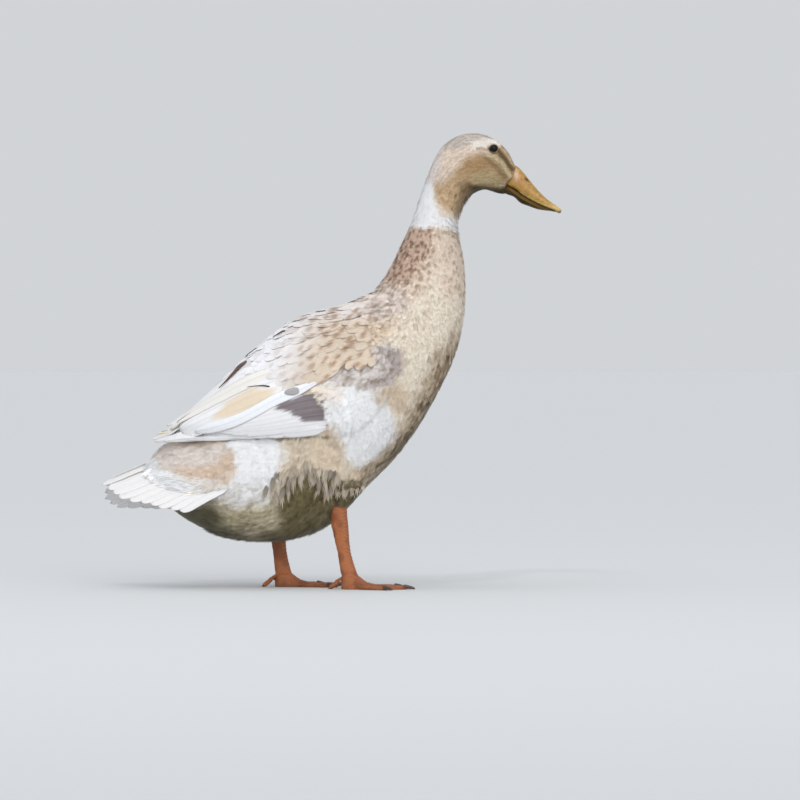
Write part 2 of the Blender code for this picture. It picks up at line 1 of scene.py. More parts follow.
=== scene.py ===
import json
import math
import bpy
import bmesh
import numpy as np
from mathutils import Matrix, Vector
from mathutils.bvhtree import BVHTree

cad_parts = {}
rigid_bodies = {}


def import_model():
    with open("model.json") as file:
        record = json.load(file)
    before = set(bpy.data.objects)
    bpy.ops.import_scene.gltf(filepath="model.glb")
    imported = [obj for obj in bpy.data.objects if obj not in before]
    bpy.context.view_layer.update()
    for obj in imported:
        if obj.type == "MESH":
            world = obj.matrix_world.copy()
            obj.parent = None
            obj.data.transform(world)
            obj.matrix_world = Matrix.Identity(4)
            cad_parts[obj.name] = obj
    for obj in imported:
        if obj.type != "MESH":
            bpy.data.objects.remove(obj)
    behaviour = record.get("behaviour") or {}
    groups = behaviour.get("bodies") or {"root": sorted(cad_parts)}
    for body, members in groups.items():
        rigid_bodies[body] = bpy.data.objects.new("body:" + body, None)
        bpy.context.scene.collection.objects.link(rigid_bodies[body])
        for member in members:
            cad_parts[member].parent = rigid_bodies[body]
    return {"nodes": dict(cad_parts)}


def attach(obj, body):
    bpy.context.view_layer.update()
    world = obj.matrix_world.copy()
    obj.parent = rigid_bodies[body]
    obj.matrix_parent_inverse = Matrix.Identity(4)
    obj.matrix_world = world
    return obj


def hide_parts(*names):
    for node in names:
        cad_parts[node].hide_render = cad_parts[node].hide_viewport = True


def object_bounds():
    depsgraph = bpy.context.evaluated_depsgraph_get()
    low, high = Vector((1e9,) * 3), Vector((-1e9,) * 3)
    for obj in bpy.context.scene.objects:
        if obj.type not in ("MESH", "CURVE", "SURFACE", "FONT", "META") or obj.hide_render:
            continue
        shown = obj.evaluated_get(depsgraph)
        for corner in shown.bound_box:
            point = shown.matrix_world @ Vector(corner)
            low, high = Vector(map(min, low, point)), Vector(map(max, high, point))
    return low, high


for old in list(bpy.data.objects):
    bpy.data.objects.remove(old)

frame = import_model()
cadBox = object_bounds()
nodes = frame["nodes"]
print("frame loaded")

# body units: the crown stands 455 of them above the floor, and the bill's tip is at x 228.4
unit = cadBox[1].z / 455.0
shiftX = cadBox[1].x / unit - 228.4


def at(x, z, y=0.0):
    return Vector(((x + shiftX) * unit, y * unit, z * unit))


def metres(p):
    q = np.array(p, float)
    q[..., 0] += shiftX
    return q * unit


def bodyUnits(p):
    q = np.array(p, float) / unit
    q[..., 0] -= shiftX
    return q


def smoothstep(low, high, value):
    t = np.clip((value - low) / (high - low), 0.0, 1.0)
    return t * t * (3 - 2 * t)


def unitRows(a):
    return a / np.maximum(np.linalg.norm(a, axis=-1, keepdims=True), 1e-12)


def mix(a, b, share):
    share = np.asarray(share)[..., None]
    return a * (1 - share) + b * share


def linear(r, g, b):
    # a colour named by its screen values, 0 to 255
    c = np.array([r, g, b]) / 255.0
    return np.where(c <= 0.04045, c / 12.92, ((c + 0.055) / 1.055) ** 2.4)


def named(**screen):
    return {name: linear(*values) for name, values in screen.items()}


def lattice(cell, seed):
    # one repeatable number from 0 to 1 for each whole-number cell
    h = cell[..., 0] * 73856093 ^ cell[..., 1] * 19349663 ^ cell[..., 2] * 83492791 ^ seed * 2654435
    h = (h ^ (h >> 13)) * 1274126177
    return ((h ^ (h >> 16)) & 0xFFFFFF) / 0xFFFFFF


def wobble(p, size, seed=0):
    # smooth noise from 0 to 1, with blobs about this size in body units
    q = np.asarray(p, float) / size
    base = np.floor(q).astype(np.int64)
    f = q - base
    f = f * f * (3 - 2 * f)
    total = 0
    for corner in range(8):
        step = np.array([corner & 1, corner >> 1 & 1, corner >> 2 & 1])
        weight = np.prod(np.where(step == 1, f, 1 - f), axis=-1)
        total = total + weight * lattice(base + step, seed)
    return total


upward = np.array([0, 0, 1.0])

stage = {
    "frameAcross": 800,               # body units from one side of the picture to the other
    "centreX": 67.0, "centreZ": 188.0,
    "distance": 5.0,
    "elevation": 0.6,
    "sensor": 36.0,
    "floorHalf": 40.0,
    "floorColour": (0.605, 0.615, 0.625, 1), "floorRoughness": 0.9,
    "roomColour": (0.94, 0.965, 1.0, 1),
    "roomStrength": 0.68,
    "lampDistance": 3.0,
}

lights = {
    # name: turn from the camera, height in degrees, softness in degrees, strength, colour
    "sky": (-35, 62, 75, 0.9, (0.96, 0.98, 1.0)),
    "front": (20, 23, 45, 1.25, (1.0, 0.99, 0.975)),
}
glint = {"place": (-0.2, -1.5, 2.0), "towards": (160, 430), "size": 0.16, "power": 7.0}


def show(obj):
    bpy.context.scene.collection.objects.link(obj)
    return obj


def plainMaterial(name, colour, roughness):
    mat = bpy.data.materials.new(name)
    mat.use_nodes = True
    shader = mat.node_tree.nodes["Principled BSDF"]
    shader.inputs["Base Color"].default_value = colour
    shader.inputs["Roughness"].default_value = roughness
    return mat


def addLamp(name, kind, place, towards, power, colour=(1, 1, 1)):
    data = bpy.data.lights.new(name, kind)
    data.energy = power
    data.color = colour
    lamp = show(bpy.data.objects.new(name, data))
    lamp.location = place
    lamp.rotation_euler = (towards - lamp.location).to_track_quat("-Z", "Y").to_euler()
    return data


def makeCamera():
    cam = show(bpy.data.objects.new("camera", bpy.data.cameras.new("camera")))
    cam.data.sensor_width = stage["sensor"]
    cam.data.lens = stage["sensor"] * stage["distance"] / (stage["frameAcross"] * unit)
    rise = math.radians(stage["elevation"])
    target = at(stage["centreX"], stage["centreZ"])
    cam.location = target + Vector((0, -math.cos(rise), math.sin(rise))) * stage["distance"]
    cam.rotation_euler = (math.pi / 2 - rise, 0, 0)
    cam.data.clip_end = 50
    bpy.context.scene.camera = cam


def makeStage():
    bm = bmesh.new()
    bmesh.ops.create_grid(bm, x_segments=2, y_segments=2, size=stage["floorHalf"])
    mesh = bpy.data.meshes.new("floor")
    bm.to_mesh(mesh)
    bm.free()
    floor = show(bpy.data.objects.new("floor", mesh))
    mesh.materials.append(plainMaterial("pale floor", stage["floorColour"], stage["floorRoughness"]))
    for name, (turn, height, softness, strength, colour) in lights.items():
        turn, height = math.radians(turn), math.radians(height)
        level = math.cos(height)
        toLamp = Vector((math.sin(turn) * level, -math.cos(turn) * level, math.sin(height)))
        sun = addLamp(name, "SUN", toLamp * stage["lampDistance"], Vector(), strength, colour)
        sun.angle = math.radians(softness)
    small = addLamp("glint", "AREA", Vector(glint["place"]), at(*glint["towards"]), glint["power"])
    small.shape = "DISK"
    small.size = glint["size"]
    world = bpy.data.worlds.new("soft room")
    world.use_nodes = True
    back = world.node_tree.nodes["Background"]
    back.inputs["Color"].default_value = stage["roomColour"]
    back.inputs["Strength"].default_value = stage["roomStrength"]
    bpy.context.scene.world = world
    bpy.context.scene.view_settings.view_transform = "Standard"


makeCamera()
makeStage()
print("stage ready")

# markings: one painter for skin and feathers, on side-view places in body units
palette = named(
    breast=(226, 215, 199), neckFawn=(222, 205, 189), neckDark=(196, 168, 150), streak=(180, 158, 128),
    # the dark olive at the start of the next line is painted shade along the breast's lower edge
    lowBreast=(92, 86, 50), fawn=(214, 196, 174), backPale=(232, 226, 219), white=(238, 239, 241),
    lilac=(212, 202, 198), covert=(214, 208, 206), covertDark=(160, 145, 139), blush=(228, 218, 210),
    buff=(194, 172, 143), flankFawn=(214, 198, 176), rump=(212, 203, 196), rumpEdge=(206, 180, 152),
    # the belly's and vent's colours on the next line are painted shade, tinged green as painted light bounced
    # up from below
    wisp=(206, 192, 172), belly=(112, 103, 68), bellySide=(196, 187, 158), vent=(72, 69, 28),
    headFawn=(184, 158, 122), headMid=(224, 208, 193), crown=(198, 189, 182), brow=(235, 229, 222),
    # the darkest cheek colour on the next line is painted shade under the jaw
    cheek=(172, 137, 96), cheekOlive=(188, 172, 132), cheekLow=(62, 52, 18), throat=(210, 183, 149),
    throatDark=(120, 97, 68), stripeDark=(102, 77, 42), stripeMid=(146, 120, 84),
    stripePale=(208, 194, 160), nape=(224, 218, 216),
)

areas = [
    # outline from the side, colour, strength, softness, share of flecked feathers, how dark a fleck is
    ([(-80, 330), (70, 330), (64, 262), (44, 238), (0, 206), (-60, 196), (-130, 196), (-160, 240)],
      "fawn", 0.9, 10, 0.3, 0.3),
    ([(-60, 300), (-30, 262), (-60, 206), (-140, 160), (-200, 160), (-190, 240)],
      "backPale", 0.9, 14, 0.15, 0.2),
    ([(20, 300), (30, 372), (104, 372), (110, 344), (104, 318), (92, 296), (70, 280), (40, 268)],
      "neckFawn", 1.0, 10, 0.9, 0.46),
    ([(44, 300), (60, 372), (98, 372), (104, 350), (92, 328), (74, 304)], "neckDark", 0.85, 9, 1.0, 0.66),
    ([(104, 372), (150, 372), (150, 300), (128, 286), (108, 296), (100, 330)],
      "neckFawn", 0.8, 10, 0.7, 0.34),
    ([(8, 296), (34, 304), (66, 300), (78, 280), (56, 266), (10, 268)], "lilac", 0.7, 9, 1.0, 0.5),
    ([(106, 236), (92, 206), (76, 172), (58, 146), (40, 128), (20, 112), (30, 100), (60, 104), (90, 140),
      (112, 190), (122, 236)], "streak", 0.55, 9, 0.45, 0.45),
    # a darker belt inside the breast's front and lower edge: painted shade where the breast turns away from
    # the light
    ([(124, 250), (110, 214), (94, 180), (76, 152), (58, 134), (40, 121), (22, 108), (20, 80), (80, 84),
      (122, 172), (140, 250)], "streak", 0.8, 14, 0.9, 0.5),
    # the breast's lower edge in painted shade, over its own dark streaks
    ([(108, 196), (88, 166), (66, 138), (44, 120), (22, 108), (20, 80), (80, 84), (122, 172), (124, 200)],
      "lowBreast", 0.9, 9, 0.9, 0.5),
    ([(-8, 206), (30, 205), (50, 199), (56, 182), (63, 166), (60, 148), (46, 133), (28, 120), (10, 128),
      (2, 150), (-6, 166)], "white", 1.0, 5, 0.0, 0.0),
    ([(46, 200), (64, 206), (76, 192), (70, 176), (56, 178), (42, 184), (38, 193)],
      "buff", 0.65, 6, 0.3, 0.3),
    ([(-20, 214), (-4, 217), (10, 206), (8, 188), (-2, 184), (-12, 196), (-22, 206)],
      "blush", 0.9, 4, 0.1, 0.12),
    ([(-8, 214), (6, 226), (30, 238), (58, 243), (70, 226), (62, 205), (44, 197), (20, 200), (0, 203)],
      "covert", 0.95, 4, 1.0, 0.5),
    ([(42, 240), (70, 234), (68, 214), (56, 203), (30, 200), (34, 208), (52, 214), (56, 228)],
      "covertDark", 0.65, 5, 1.0, 0.42),
    ([(-60, 152), (-4, 152), (0, 120), (14, 112), (40, 118), (60, 130), (40, 96), (0, 84), (-30, 80),
      (-62, 92)], "wisp", 0.9, 7, 0.35, 0.32),
    ([(-22, 166), (0, 160), (10, 146), (12, 120), (0, 108), (-18, 112), (-25, 136)],
      "flankFawn", 0.95, 5, 0.1, 0.15),
    # under the tail's root: painted shade, tinged green as painted bounced light
    ([(-230, 74), (-120, 88), (-84, 66), (-90, 20), (-230, 20)], "vent", 0.9, 10, 0.25, 0.3),
    ([(-110, 92), (-60, 92), (-30, 84), (-34, 60), (-60, 48), (-110, 62)], "bellySide", 0.8, 9, 0.35, 0.3),
    # the belly in painted shade, carried up into the gaps under the hanging wisps
    ([(-56, 92), (-44, 107), (-24, 115), (-6, 113), (12, 109), (30, 104), (34, 94), (24, 84), (16, 30),
      (-60, 30), (-70, 52), (-50, 62)], "belly", 0.95, 6, 0.6, 0.4),
    # the lower belly in painted shade
    ([(-120, 50), (-80, 54), (-50, 60), (40, 66), (40, 10), (-120, 10)], "belly", 0.75, 7, 0.4, 0.35),
    ([(-104, 156), (-54, 156), (-50, 130), (-56, 104), (-66, 88), (-96, 80), (-116, 92), (-106, 110),
      (-102, 130)], "white", 1.0, 7, 0.0, 0.0),
    ([(-260, 170), (-150, 170), (-96, 152), (-98, 116), (-112, 104), (-160, 92), (-260, 70)],
      "white", 0.95, 8, 0.0, 0.0),
    ([(-180, 146), (-160, 149), (-112, 151), (-101, 138), (-99, 120), (-112, 111), (-150, 110), (-172, 120),
      (-182, 132)], "rump", 0.95, 5, 0.9, 0.22),
    ([(-102, 136), (-96, 116), (-106, 104), (-146, 108), (-164, 118), (-130, 121), (-113, 130)],
      "rumpEdge", 0.7, 6, 0.4, 0.2),
    # painted shadow under the folded wing's rear edge, in the rump edge's fawn colour
    ([(-170, 150), (-160, 152), (-108, 154), (-108, 146), (-150, 143)], "rumpEdge", 0.6, 4, 0.3, 0.3),
    ([(60, 356), (75, 358), (97, 360.5), (124, 357), (150, 357), (150, 378), (90, 424), (60, 400)],
      "white", 1.0, 3.5, 0.0, 0.0),
    ([(150, 373), (132, 374), (115, 375), (110, 379), (106, 383), (103, 388), (101, 396), (100, 407),
      (97, 416), (84, 418), (76, 470), (200, 470), (200, 373)], "headFawn", 1.0, 3.0, 0.1, 0.15),
    ([(98, 404), (108, 402), (118, 412), (130, 426), (144, 433), (160, 434), (166, 446), (120, 462),
      (86, 444), (88, 412)], "headMid", 0.95, 6, 0.05, 0.12),
    ([(60, 404), (97, 404), (103, 410), (107, 424), (109, 440), (102, 470), (60, 470)],
      "nape", 0.8, 6, 0.0, 0.0),
    ([(100, 470), (104, 443), (122, 437), (136, 442), (150, 448), (168, 447), (180, 434), (190, 470)],
      "crown", 0.85, 4, 0.05, 0.12),
    ([(138, 437), (150, 441), (158, 445), (168, 446), (168, 451), (152, 450), (138, 446)],
      "brow", 0.85, 3.0, 0.0, 0.0),
    ([(134, 428), (146, 430), (154, 427), (160, 418), (150, 412), (136, 412), (126, 416)],
      "cheek", 0.6, 6, 0.1, 0.15),
    ([(140, 413), (158, 416), (170, 409), (176, 403), (160, 402), (140, 404)],
      "cheekOlive", 0.7, 4, 0.05, 0.1),
    # painted shade under the jaw and chin
    ([(132, 403), (150, 401), (166, 399.5), (174, 402), (186, 390), (180, 376), (130, 376)],
      "cheekLow", 0.95, 3.0, 0.1, 0.2),
    ([(100, 400), (118, 406), (132, 402), (138, 380), (130, 366), (108, 370), (102, 384)],
      "throat", 0.7, 6, 0.6, 0.35),
    ([(124, 404), (134, 404), (140, 392), (134, 372), (122, 372), (124, 388)],
      "throatDark", 0.65, 4, 0.6, 0.4),
]

stripes = [
    # path from the side, colour, half width, strength
    ([(166, 437.0), (172, 428.5), (179, 419)], "stripeDark", 2.7, 0.9),
    ([(155.5, 438), (149, 439.5), (143, 438)], "stripeMid", 1.2, 0.5),
    ([(153, 428), (162, 420), (172, 411)], "stripeMid", 2.6, 0.75),
    ([(155, 432), (162, 431.5), (169, 425), (178.5, 411)], "stripePale", 2.3, 0.9),
    ([(155, 443.5), (160.3, 445.4), (166, 443.5)], "brow", 1.8, 0.8),
    ([(179, 425), (175, 433), (171, 439)], "stripePale", 1.5, 0.5),
    ([(184, 416), (182, 409), (178, 405.5)], "nape", 1.9, 0.75),
    ([(166, 402), (170, 402.6)], "nape", 1.2, 0.3),
    # painted shadow along the folded wing's lower edge
    ([(-152, 149.5), (-110, 151), (-60, 151.5), (-14, 152.5), (-4, 150)], "stripeDark", 1.8, 0.75),
]


def segmentGap(x, z, ax, az, bx, bz):
    dx, dz = bx - ax, bz - az
    t = np.clip(((x - ax) * dx + (z - az) * dz) / (dx * dx + dz * dz), 0, 1)
    return np.hypot(x - ax - t * dx, z - az - t * dz)


def trailGap(x, z, points):
    return np.min([segmentGap(x, z, *a, *b) for a, b in zip(points, points[1:])], axis=0)


def inside(x, z, points, soft):
    # 1 inside the outline, 0 outside, with a soft border
    loop = list(points) + [points[0]]
    hit = np.zeros(x.shape, bool)
    for (ax, az), (bx, bz) in zip(loop, loop[1:]):
        if az != bz:
            hit ^= ((az > z) != (bz > z)) & (x < (bx - ax) * (z - az) / (bz - az) + ax)
    gap = trailGap(x, z, loop) * np.where(hit, 1.0, -1.0)
    return smoothstep(-soft, soft, gap)


def spots(p, cell, long, short, share, seed=0):
    # drop-shaped marks lying with the feathers, one at most in each cell of this size; 1 at their middles
    d = heading(p)
    q = p[:, [0, 2]] / cell
    base = np.floor(q).astype(np.int64)
    flank = (p[:, 1] > 0).astype(np.int64) * 57 + seed
    best = np.zeros(len(p))
    for i in (-1, 0, 1):
        for j in (-1, 0, 1):
            near = np.stack([base[:, 0] + i, base[:, 1] + j, flank], -1)
            jitter = np.stack([lattice(near, 31), lattice(near, 32)], -1) * 0.7 + 0.15
            jitter += 0.5 * (near[:, 1:2] % 2) * [1, 0]
            rel = (q - near[:, :2] - jitter) * cell
            u = rel[:, 0] * d[:, 0] + rel[:, 1] * d[:, 1]
            v = rel[:, 0] * d[:, 1] - rel[:, 1] * d[:, 0]
            size = 0.75 + 0.5 * lattice(near, 33)
            gap = np.hypot(u / (long * size), v / (short * size * (1.1 + 0.35 * u / long)))
            best = np.maximum(best, (1 - smoothstep(0.45, 1.15, gap)) * (lattice(near, 34) < share))
    return best


breastLine = ([100, 128, 161, 194, 224, 250], [33, 62, 86, 105, 120, 129])     # heights, and how far forward


marking = {
    "frayBlob": 9, "frayHead": 2.5, "frayBody": 7.0, "headFrom": 372,
    "share": 0.35, "depth": 0.26,                            # flecks where no area says otherwise
    # flecks: cell, length, width, then share and seed where they are fixed
    "small": (4.9, 2.8, 1.3), "wide": (8.5, 4.8, 1.7), "smallAbove": 290,
    "fine": (3.4, 4.0, 0.7, 0.85, 5), "fineDepth": 0.2, "hair": (5.0, 9.0, 0.9, 0.85, 11), "hairDepth": 0.34,
    "browner": np.array([1.0, 1.12, 1.28]), "darkest": 0.85,
}


def markings(p):
    # colour at each place, with the brown marks laid over it; borders fray a little
    k = marking
    fray = np.stack([wobble(p, k["frayBlob"], seed) for seed in (1, 2)], -1) - 0.5
    loose = np.where(p[:, 2] > k["headFrom"], k["frayHead"], k["frayBody"])
    x = p[:, 0] + fray[:, 0] * loose
    z = p[:, 2] + fray[:, 1] * loose
    colour = np.tile(palette["breast"], (len(p), 1))
    share = np.full(len(p), k["share"])
    depth = np.full(len(p), k["depth"])
    for points, name, strength, soft, flecked, dark in areas:
        m = inside(x, z, points, soft) * strength
        colour = mix(colour, palette[name], m)
        share = share * (1 - m) + flecked * m
        depth = depth * (1 - m) + dark * m
    for points, name, half, strength in stripes:
        m = strength * (1 - smoothstep(half * 0.4, half * 1.5, trailGap(x, z, points)))
        colour = mix(colour, palette[name], m)
    small = spots(p, *k["small"], share)
    wide = spots(p, *k["wide"], share * 0.8, 3)
    mark = np.where(p[:, 2] > k["smallAbove"], small, np.maximum(small * 0.6, wide)) * depth
    onHead = smoothstep(378, 386, p[:, 2])
    fine = spots(p, *k["fine"]) * onHead * smoothstep(210, 160, colour.sum(1) * 85)
    edge = np.interp(p[:, 2], *breastLine) - p[:, 0]
    front = smoothstep(30, 6, edge) * smoothstep(262, 225, p[:, 2])
    under = smoothstep(114, 98, p[:, 2]) * smoothstep(-150, -120, p[:, 0])
    hair = spots(p, *k["hair"]) * np.maximum(under, 1.5 * front)
    mark = mark + k["fineDepth"] * fine + k["hairDepth"] * hair
    return colour * (1 - np.clip(mark[:, None] * k["browner"], 0, k["darkest"]))


eyeMiddle = (160.3, 438.7)


def eyeGap(x, z):
    return np.hypot(x - eyeMiddle[0], z - eyeMiddle[1])


lieBlend = 40.0                      # how widely the guides below blend, in square body units
# lie of the coat: degrees below straight back, at side-view places
lie = [
    (175, 436, -46), (147, 454, -3), (107, 440, 47), (92, 409, 70), (160, 439, -8), (172, 423, -20),
    (152, 413, 8), (157, 398, 0), (132, 391, 62), (127, 423, 25), (112, 408, 60), (102, 368, 82),
    (76, 350, 65), (97, 328, 75), (131, 318, 94), (35, 292, 37), (87, 278, 70), (132, 268, 95),
    (-3, 278, 17), (-63, 250, 38), (-105, 210, 43), (-143, 178, 45), (-3, 243, 50), (-43, 223, 44),
    (37, 245, 57), (20, 265, 46), (37, 220, 27), (-33, 183, 15), (-53, 158, 2), (-153, 158, 20),
    (77, 238, 70), (107, 238, 85), (101, 193, 61), (62, 135, 48), (27, 178, 55), (17, 148, 60),
    (42, 116, 40), (12, 98, 85), (-8, 138, 75), (-33, 108, 72), (-83, 123, 40), (-98, 108, 20),
    (-138, 133, 17), (-148, 116, 5), (-33, 73, 40), (-83, 58, 10), (-123, 63, -25), (-158, 85, 5),
    (-183, 123, 28), (-213, 103, 25),
]


def heading(p):
    # direction of the lie seen from the side, as (x, z)
    guide = np.array(lie, float)
    away = (p[:, None, 0] - guide[None, :, 0]) ** 2 + (p[:, None, 2] - guide[None, :, 1]) ** 2
    angle = np.radians(guide[:, 2])
    return unitRows((1 / (away + lieBlend) ** 2) @ np.stack([-np.cos(angle), -np.sin(angle)], -1))


def flow(p, normal):
    # direction of the feathers along the surface; they part in front of the eye and close behind it
    side = heading(p)
    d = np.stack([side[:, 0], np.zeros(len(p)), side[:, 1]], -1)
    out = np.stack([p[:, 0] - eyeMiddle[0], np.zeros(len(p)), p[:, 2] - eyeMiddle[1]], -1)
    near = smoothstep(11.0, 5.5, np.linalg.norm(out, axis=1))[:, None]
    out = unitRows(out)
    into = np.minimum(np.sum(d * out, axis=1, keepdims=True), 0)
    d = d + out * near * (0.35 - into)
    along = np.sum(d * normal, axis=1, keepdims=True)
    return unitRows(d - along * normal)


# centre line of the body from bill to tail, for the coat's unwrap
spineKnots = [
    (176, 412.7), (161, 422.7), (139, 425), (121.7, 415.5), (112, 398), (102.7, 368.5), (96.7, 332),
    (84, 287.5), (53.5, 250), (14, 203.7), (-33, 152), (-84.5, 107.5), (-137.5, 97.5), (-168, 99),
    (-192, 104),
]
spineSteps = 24
spineAt = np.arange((len(spineKnots) - 1) * spineSteps + 1) / spineSteps
spine = np.stack([np.interp(spineAt, range(len(spineKnots)), line) for line in zip(*spineKnots)], -1)


def spinePlace(p):
    # place along the spine, 0 at the bill and 1 at the tail, and the turn round it, 0 on top and 1 below
    near = np.empty(len(p), int)
    batch = 20000                    # so many at a time, to keep the memory small
    for start in range(0, len(p), batch):
        q = p[start:start + batch]
        gap = (q[:, None, 0] - spine[None, :, 0]) ** 2 + (q[:, None, 2] - spine[None, :, 1]) ** 2
        near[start:start + batch] = np.argmin(gap, axis=1)
    tangent = unitRows(np.gradient(spine, axis=0))[near]
    up = np.stack([tangent[:, 1], -tangent[:, 0]], -1)
    offset = p[:, [0, 2]] - spine[near]
    height = np.sum(offset * up, axis=1)
    return near / (len(spine) - 1), np.arctan2(np.abs(p[:, 1]), height) / math.pi


# one skin under all the feathers, and the coat's outer face above it
skinSettings = {
    "voxel": 0.0016,
    "grow": 0.55,                    # closes the cuts between the solids before they melt together
    "wingCutX": -92.0,               # behind this the folded wing is feathers only
    "smooth": 8,
    "headDepth": 1.1, "neckDepth": 2.6, "bodyDepth": 4.2,
    "wingDepth": 2.6, "rumpDepth": 3.4, "thighDepth": 2.6,
    "thighTop": 112.0, "thighTuck": 0.8,     # the thigh's root is drawn in under the flank
    "chinDrop": 4.0, "foreheadReach": 5.4, "lidReach": 5.2, "lidEase": 9.0,
    "socketWide": 11.3,              # the face swells to this half width at the lids
    "socketRim": 4.8, "socketSlope": 0.8,
}


def mergedCopy(name):
    bm = bmesh.new()
    bm.from_mesh(nodes[name].data)
    bmesh.ops.remove_doubles(bm, verts=bm.verts, dist=1e-6)
    return bm


def newPiece(name, bm):
    mesh = bpy.data.meshes.new(name)
    bm.to_mesh(mesh)
    bm.free()
    mesh.shade_smooth()
    return show(bpy.data.objects.new(name, mesh))


def addTo(whole, bm):
    # joins a bmesh into another and frees it
    part = bpy.data.meshes.new("part")
    bm.to_mesh(part)
    bm.free()
    whole.from_mesh(part)
    bpy.data.meshes.remove(part)


def applyModifiers(obj):
    graph = bpy.context.evaluated_depsgraph_get()
    mesh = bpy.data.meshes.new_from_object(obj.evaluated_get(graph))
    obj.modifiers.clear()
    old = obj.data
    obj.data = mesh
    bpy.data.meshes.remove(old)
    mesh.name = obj.name
    return obj


def rounded(obj, levels):
    rounder = obj.modifiers.new("round", "SUBSURF")
    rounder.levels = rounder.render_levels = levels


def thickened(obj, thickness):
    body = obj.modifiers.new("thickness", "SOLIDIFY")
    body.thickness = thickness
    body.offset = 0


def melted(obj, voxel, rounds):
    # closed solids that touch become one smooth surface
    remesh = obj.modifiers.new("melt together", "REMESH")
    remesh.mode = "VOXEL"
    remesh.voxel_size = voxel
    ease = obj.modifiers.new("ease", "SMOOTH")
    ease.factor = 0.5
    ease.iterations = rounds
    applyModifiers(obj).data.shade_smooth()


def meshArrays(mesh):
    count = len(mesh.vertices)
    co = np.empty(count * 3, np.float32)
    mesh.vertices.foreach_get("co", co)
    no = np.empty(count * 3, np.float32)
    mesh.vertex_normals.foreach_get("vector", no)
    return co.reshape(-1, 3).astype(float), no.reshape(-1, 3).astype(float)


def placeVertices(mesh, co):
    mesh.vertices.foreach_set("co", co.astype(np.float32).ravel())
    mesh.update()


def largestIsland(bm):
    seen = set()
    best = []
    for start in bm.verts:
        if start in seen:
            continue
        island = [start]
        seen.add(start)
        for v in island:
            for w in (e.other_vert(v) for e in v.link_edges):
                if w not in seen:
                    seen.add(w)
                    island.append(w)
        best = max(best, island, key=len)
    return set(best)


def fleshMesh():
    whole = bmesh.new()
    for name in ("head", "neck", "trunk", "thigh_right", "wing_left", "wing_right"):
        bm = mergedCopy(name)
        if name.startswith("wing"):
            cut = at(skinSettings["wingCutX"], 0)
            bmesh.ops.bisect_plane(bm, geom=bm.verts[:] + bm.edges[:] + bm.faces[:], plane_co=cut,
                                   plane_no=(-1, 0, 0), clear_outer=True)
            bmesh.ops.holes_fill(bm, edges=[e for e in bm.edges if e.is_boundary])
        bm.normal_update()
        grow = skinSettings["grow"] * unit
        for v in bm.verts:
            v.co += v.normal * grow
            if name.startswith("thigh") and v.co.z > at(0, skinSettings["thighTop"]).z:
                v.co.y *= skinSettings["thighTuck"]
        addTo(whole, bm)
    body = newPiece("skin", whole)
    melted(body, skinSettings["voxel"], skinSettings["smooth"])
    bm = bmesh.new()
    bm.from_mesh(body.data)
    keep = largestIsland(bm)
    bmesh.ops.delete(bm, geom=[v for v in bm.verts if v not in keep], context="VERTS")
    bm.to_mesh(body.data)
    bm.free()
    return body


def gapTo(tree, points, reach):
    out = np.full(len(points), reach)
    for i, point in enumerate(points):
        hit = tree.find_nearest(point, reach)
        if hit[0] is not None:
            out[i] = hit[3]
    return out


def treeOf(*meshes):
    verts, faces = [], []
    for mesh in meshes:
        base = len(verts)
        verts.extend(v.co.copy() for v in mesh.vertices)
        faces.extend([base + k for k in f.vertices] for f in mesh.polygons)
    return BVHTree.FromPolygons(verts, faces)


def coatDepth(p, wingGap):
    # thickness of the coat over the skin, in body units
    s = skinSettings
    along, _ = spinePlace(p)
    x, y, z = p.T
    depth = np.full(len(p), s["bodyDepth"])
    for part, share in (
        ("neck", smoothstep(0.52, 0.36, along)),
        ("head", smoothstep(0.29, 0.17, along)),
        ("rump", smoothstep(-110, -150, x)),
        ("thigh", smoothstep(96, 86, z) * smoothstep(26, 18, np.hypot(x - 8, y + 32))),
        ("wing", smoothstep(6, 1.5, wingGap)),
    ):
        depth = depth + (s[part + "Depth"] - depth) * share
    lid = 0.55 + 0.45 * smoothstep(s["lidReach"], s["lidEase"], eyeGap(x, z))
    return depth * lid * (0.4 + 0.6 * smoothstep(186, 174, x))


flesh = fleshMesh()
outerCo, outerNo = meshArrays(flesh.data)
outerCo -= outerNo * skinSettings["grow"] * unit
px, py, pz = bodyUnits(outerCo).T
chin = smoothstep(150, 172, px) * smoothstep(405, 398, pz) * smoothstep(12, 7, np.abs(py))
outerCo[:, 2] -= chin * skinSettings["chinDrop"] * unit
forehead = smoothstep(168, 178, px) * smoothstep(403, 409, pz) * (0.15 + 0.85 * smoothstep(430, 418, pz))
outerCo[:, 0] += forehead * skinSettings["foreheadReach"] * unit
fromEye = eyeGap(px, pz)
beyond = np.maximum(fromEye - skinSettings["socketRim"], 0)
rise = np.maximum(skinSettings["socketWide"] - skinSettings["socketSlope"] * beyond - np.abs(py), 0)
rise *= smoothstep(10.5, 6.0, fromEye) * smoothstep(1.5, 4, np.abs(py))
outerCo[:, 1] += np.sign(py) * rise * unit
placeVertices(flesh.data, outerCo)
outerTree = treeOf(flesh.data)
rearTree = treeOf(flesh.data, nodes["tail"].data)
wingTree = treeOf(nodes["wing_left"].data, nodes["wing_right"].data)
outerPlace = bodyUnits(outerCo)
wingGap = gapTo(wingTree, outerCo, 8 * unit) / unit
outerDepth = coatDepth(outerPlace, wingGap)
skinCo = outerCo - outerNo * (outerDepth * unit)[:, None]
placeVertices(flesh.data, skinCo)
print("skin:", len(flesh.data.vertices), "points")
finish = {
    "roughness": 0.72, "specular": 0.25,
    "sheen": 0.25, "sheenRoughness": 0.45,
    "barbs": 62.0, "barbSlant": 12.0, "barbBump": 0.00008, "barbRelief": 0.4, "barbShade": 0.06,
    "mottleSize": 260.0, "mottle": 0.06,
}


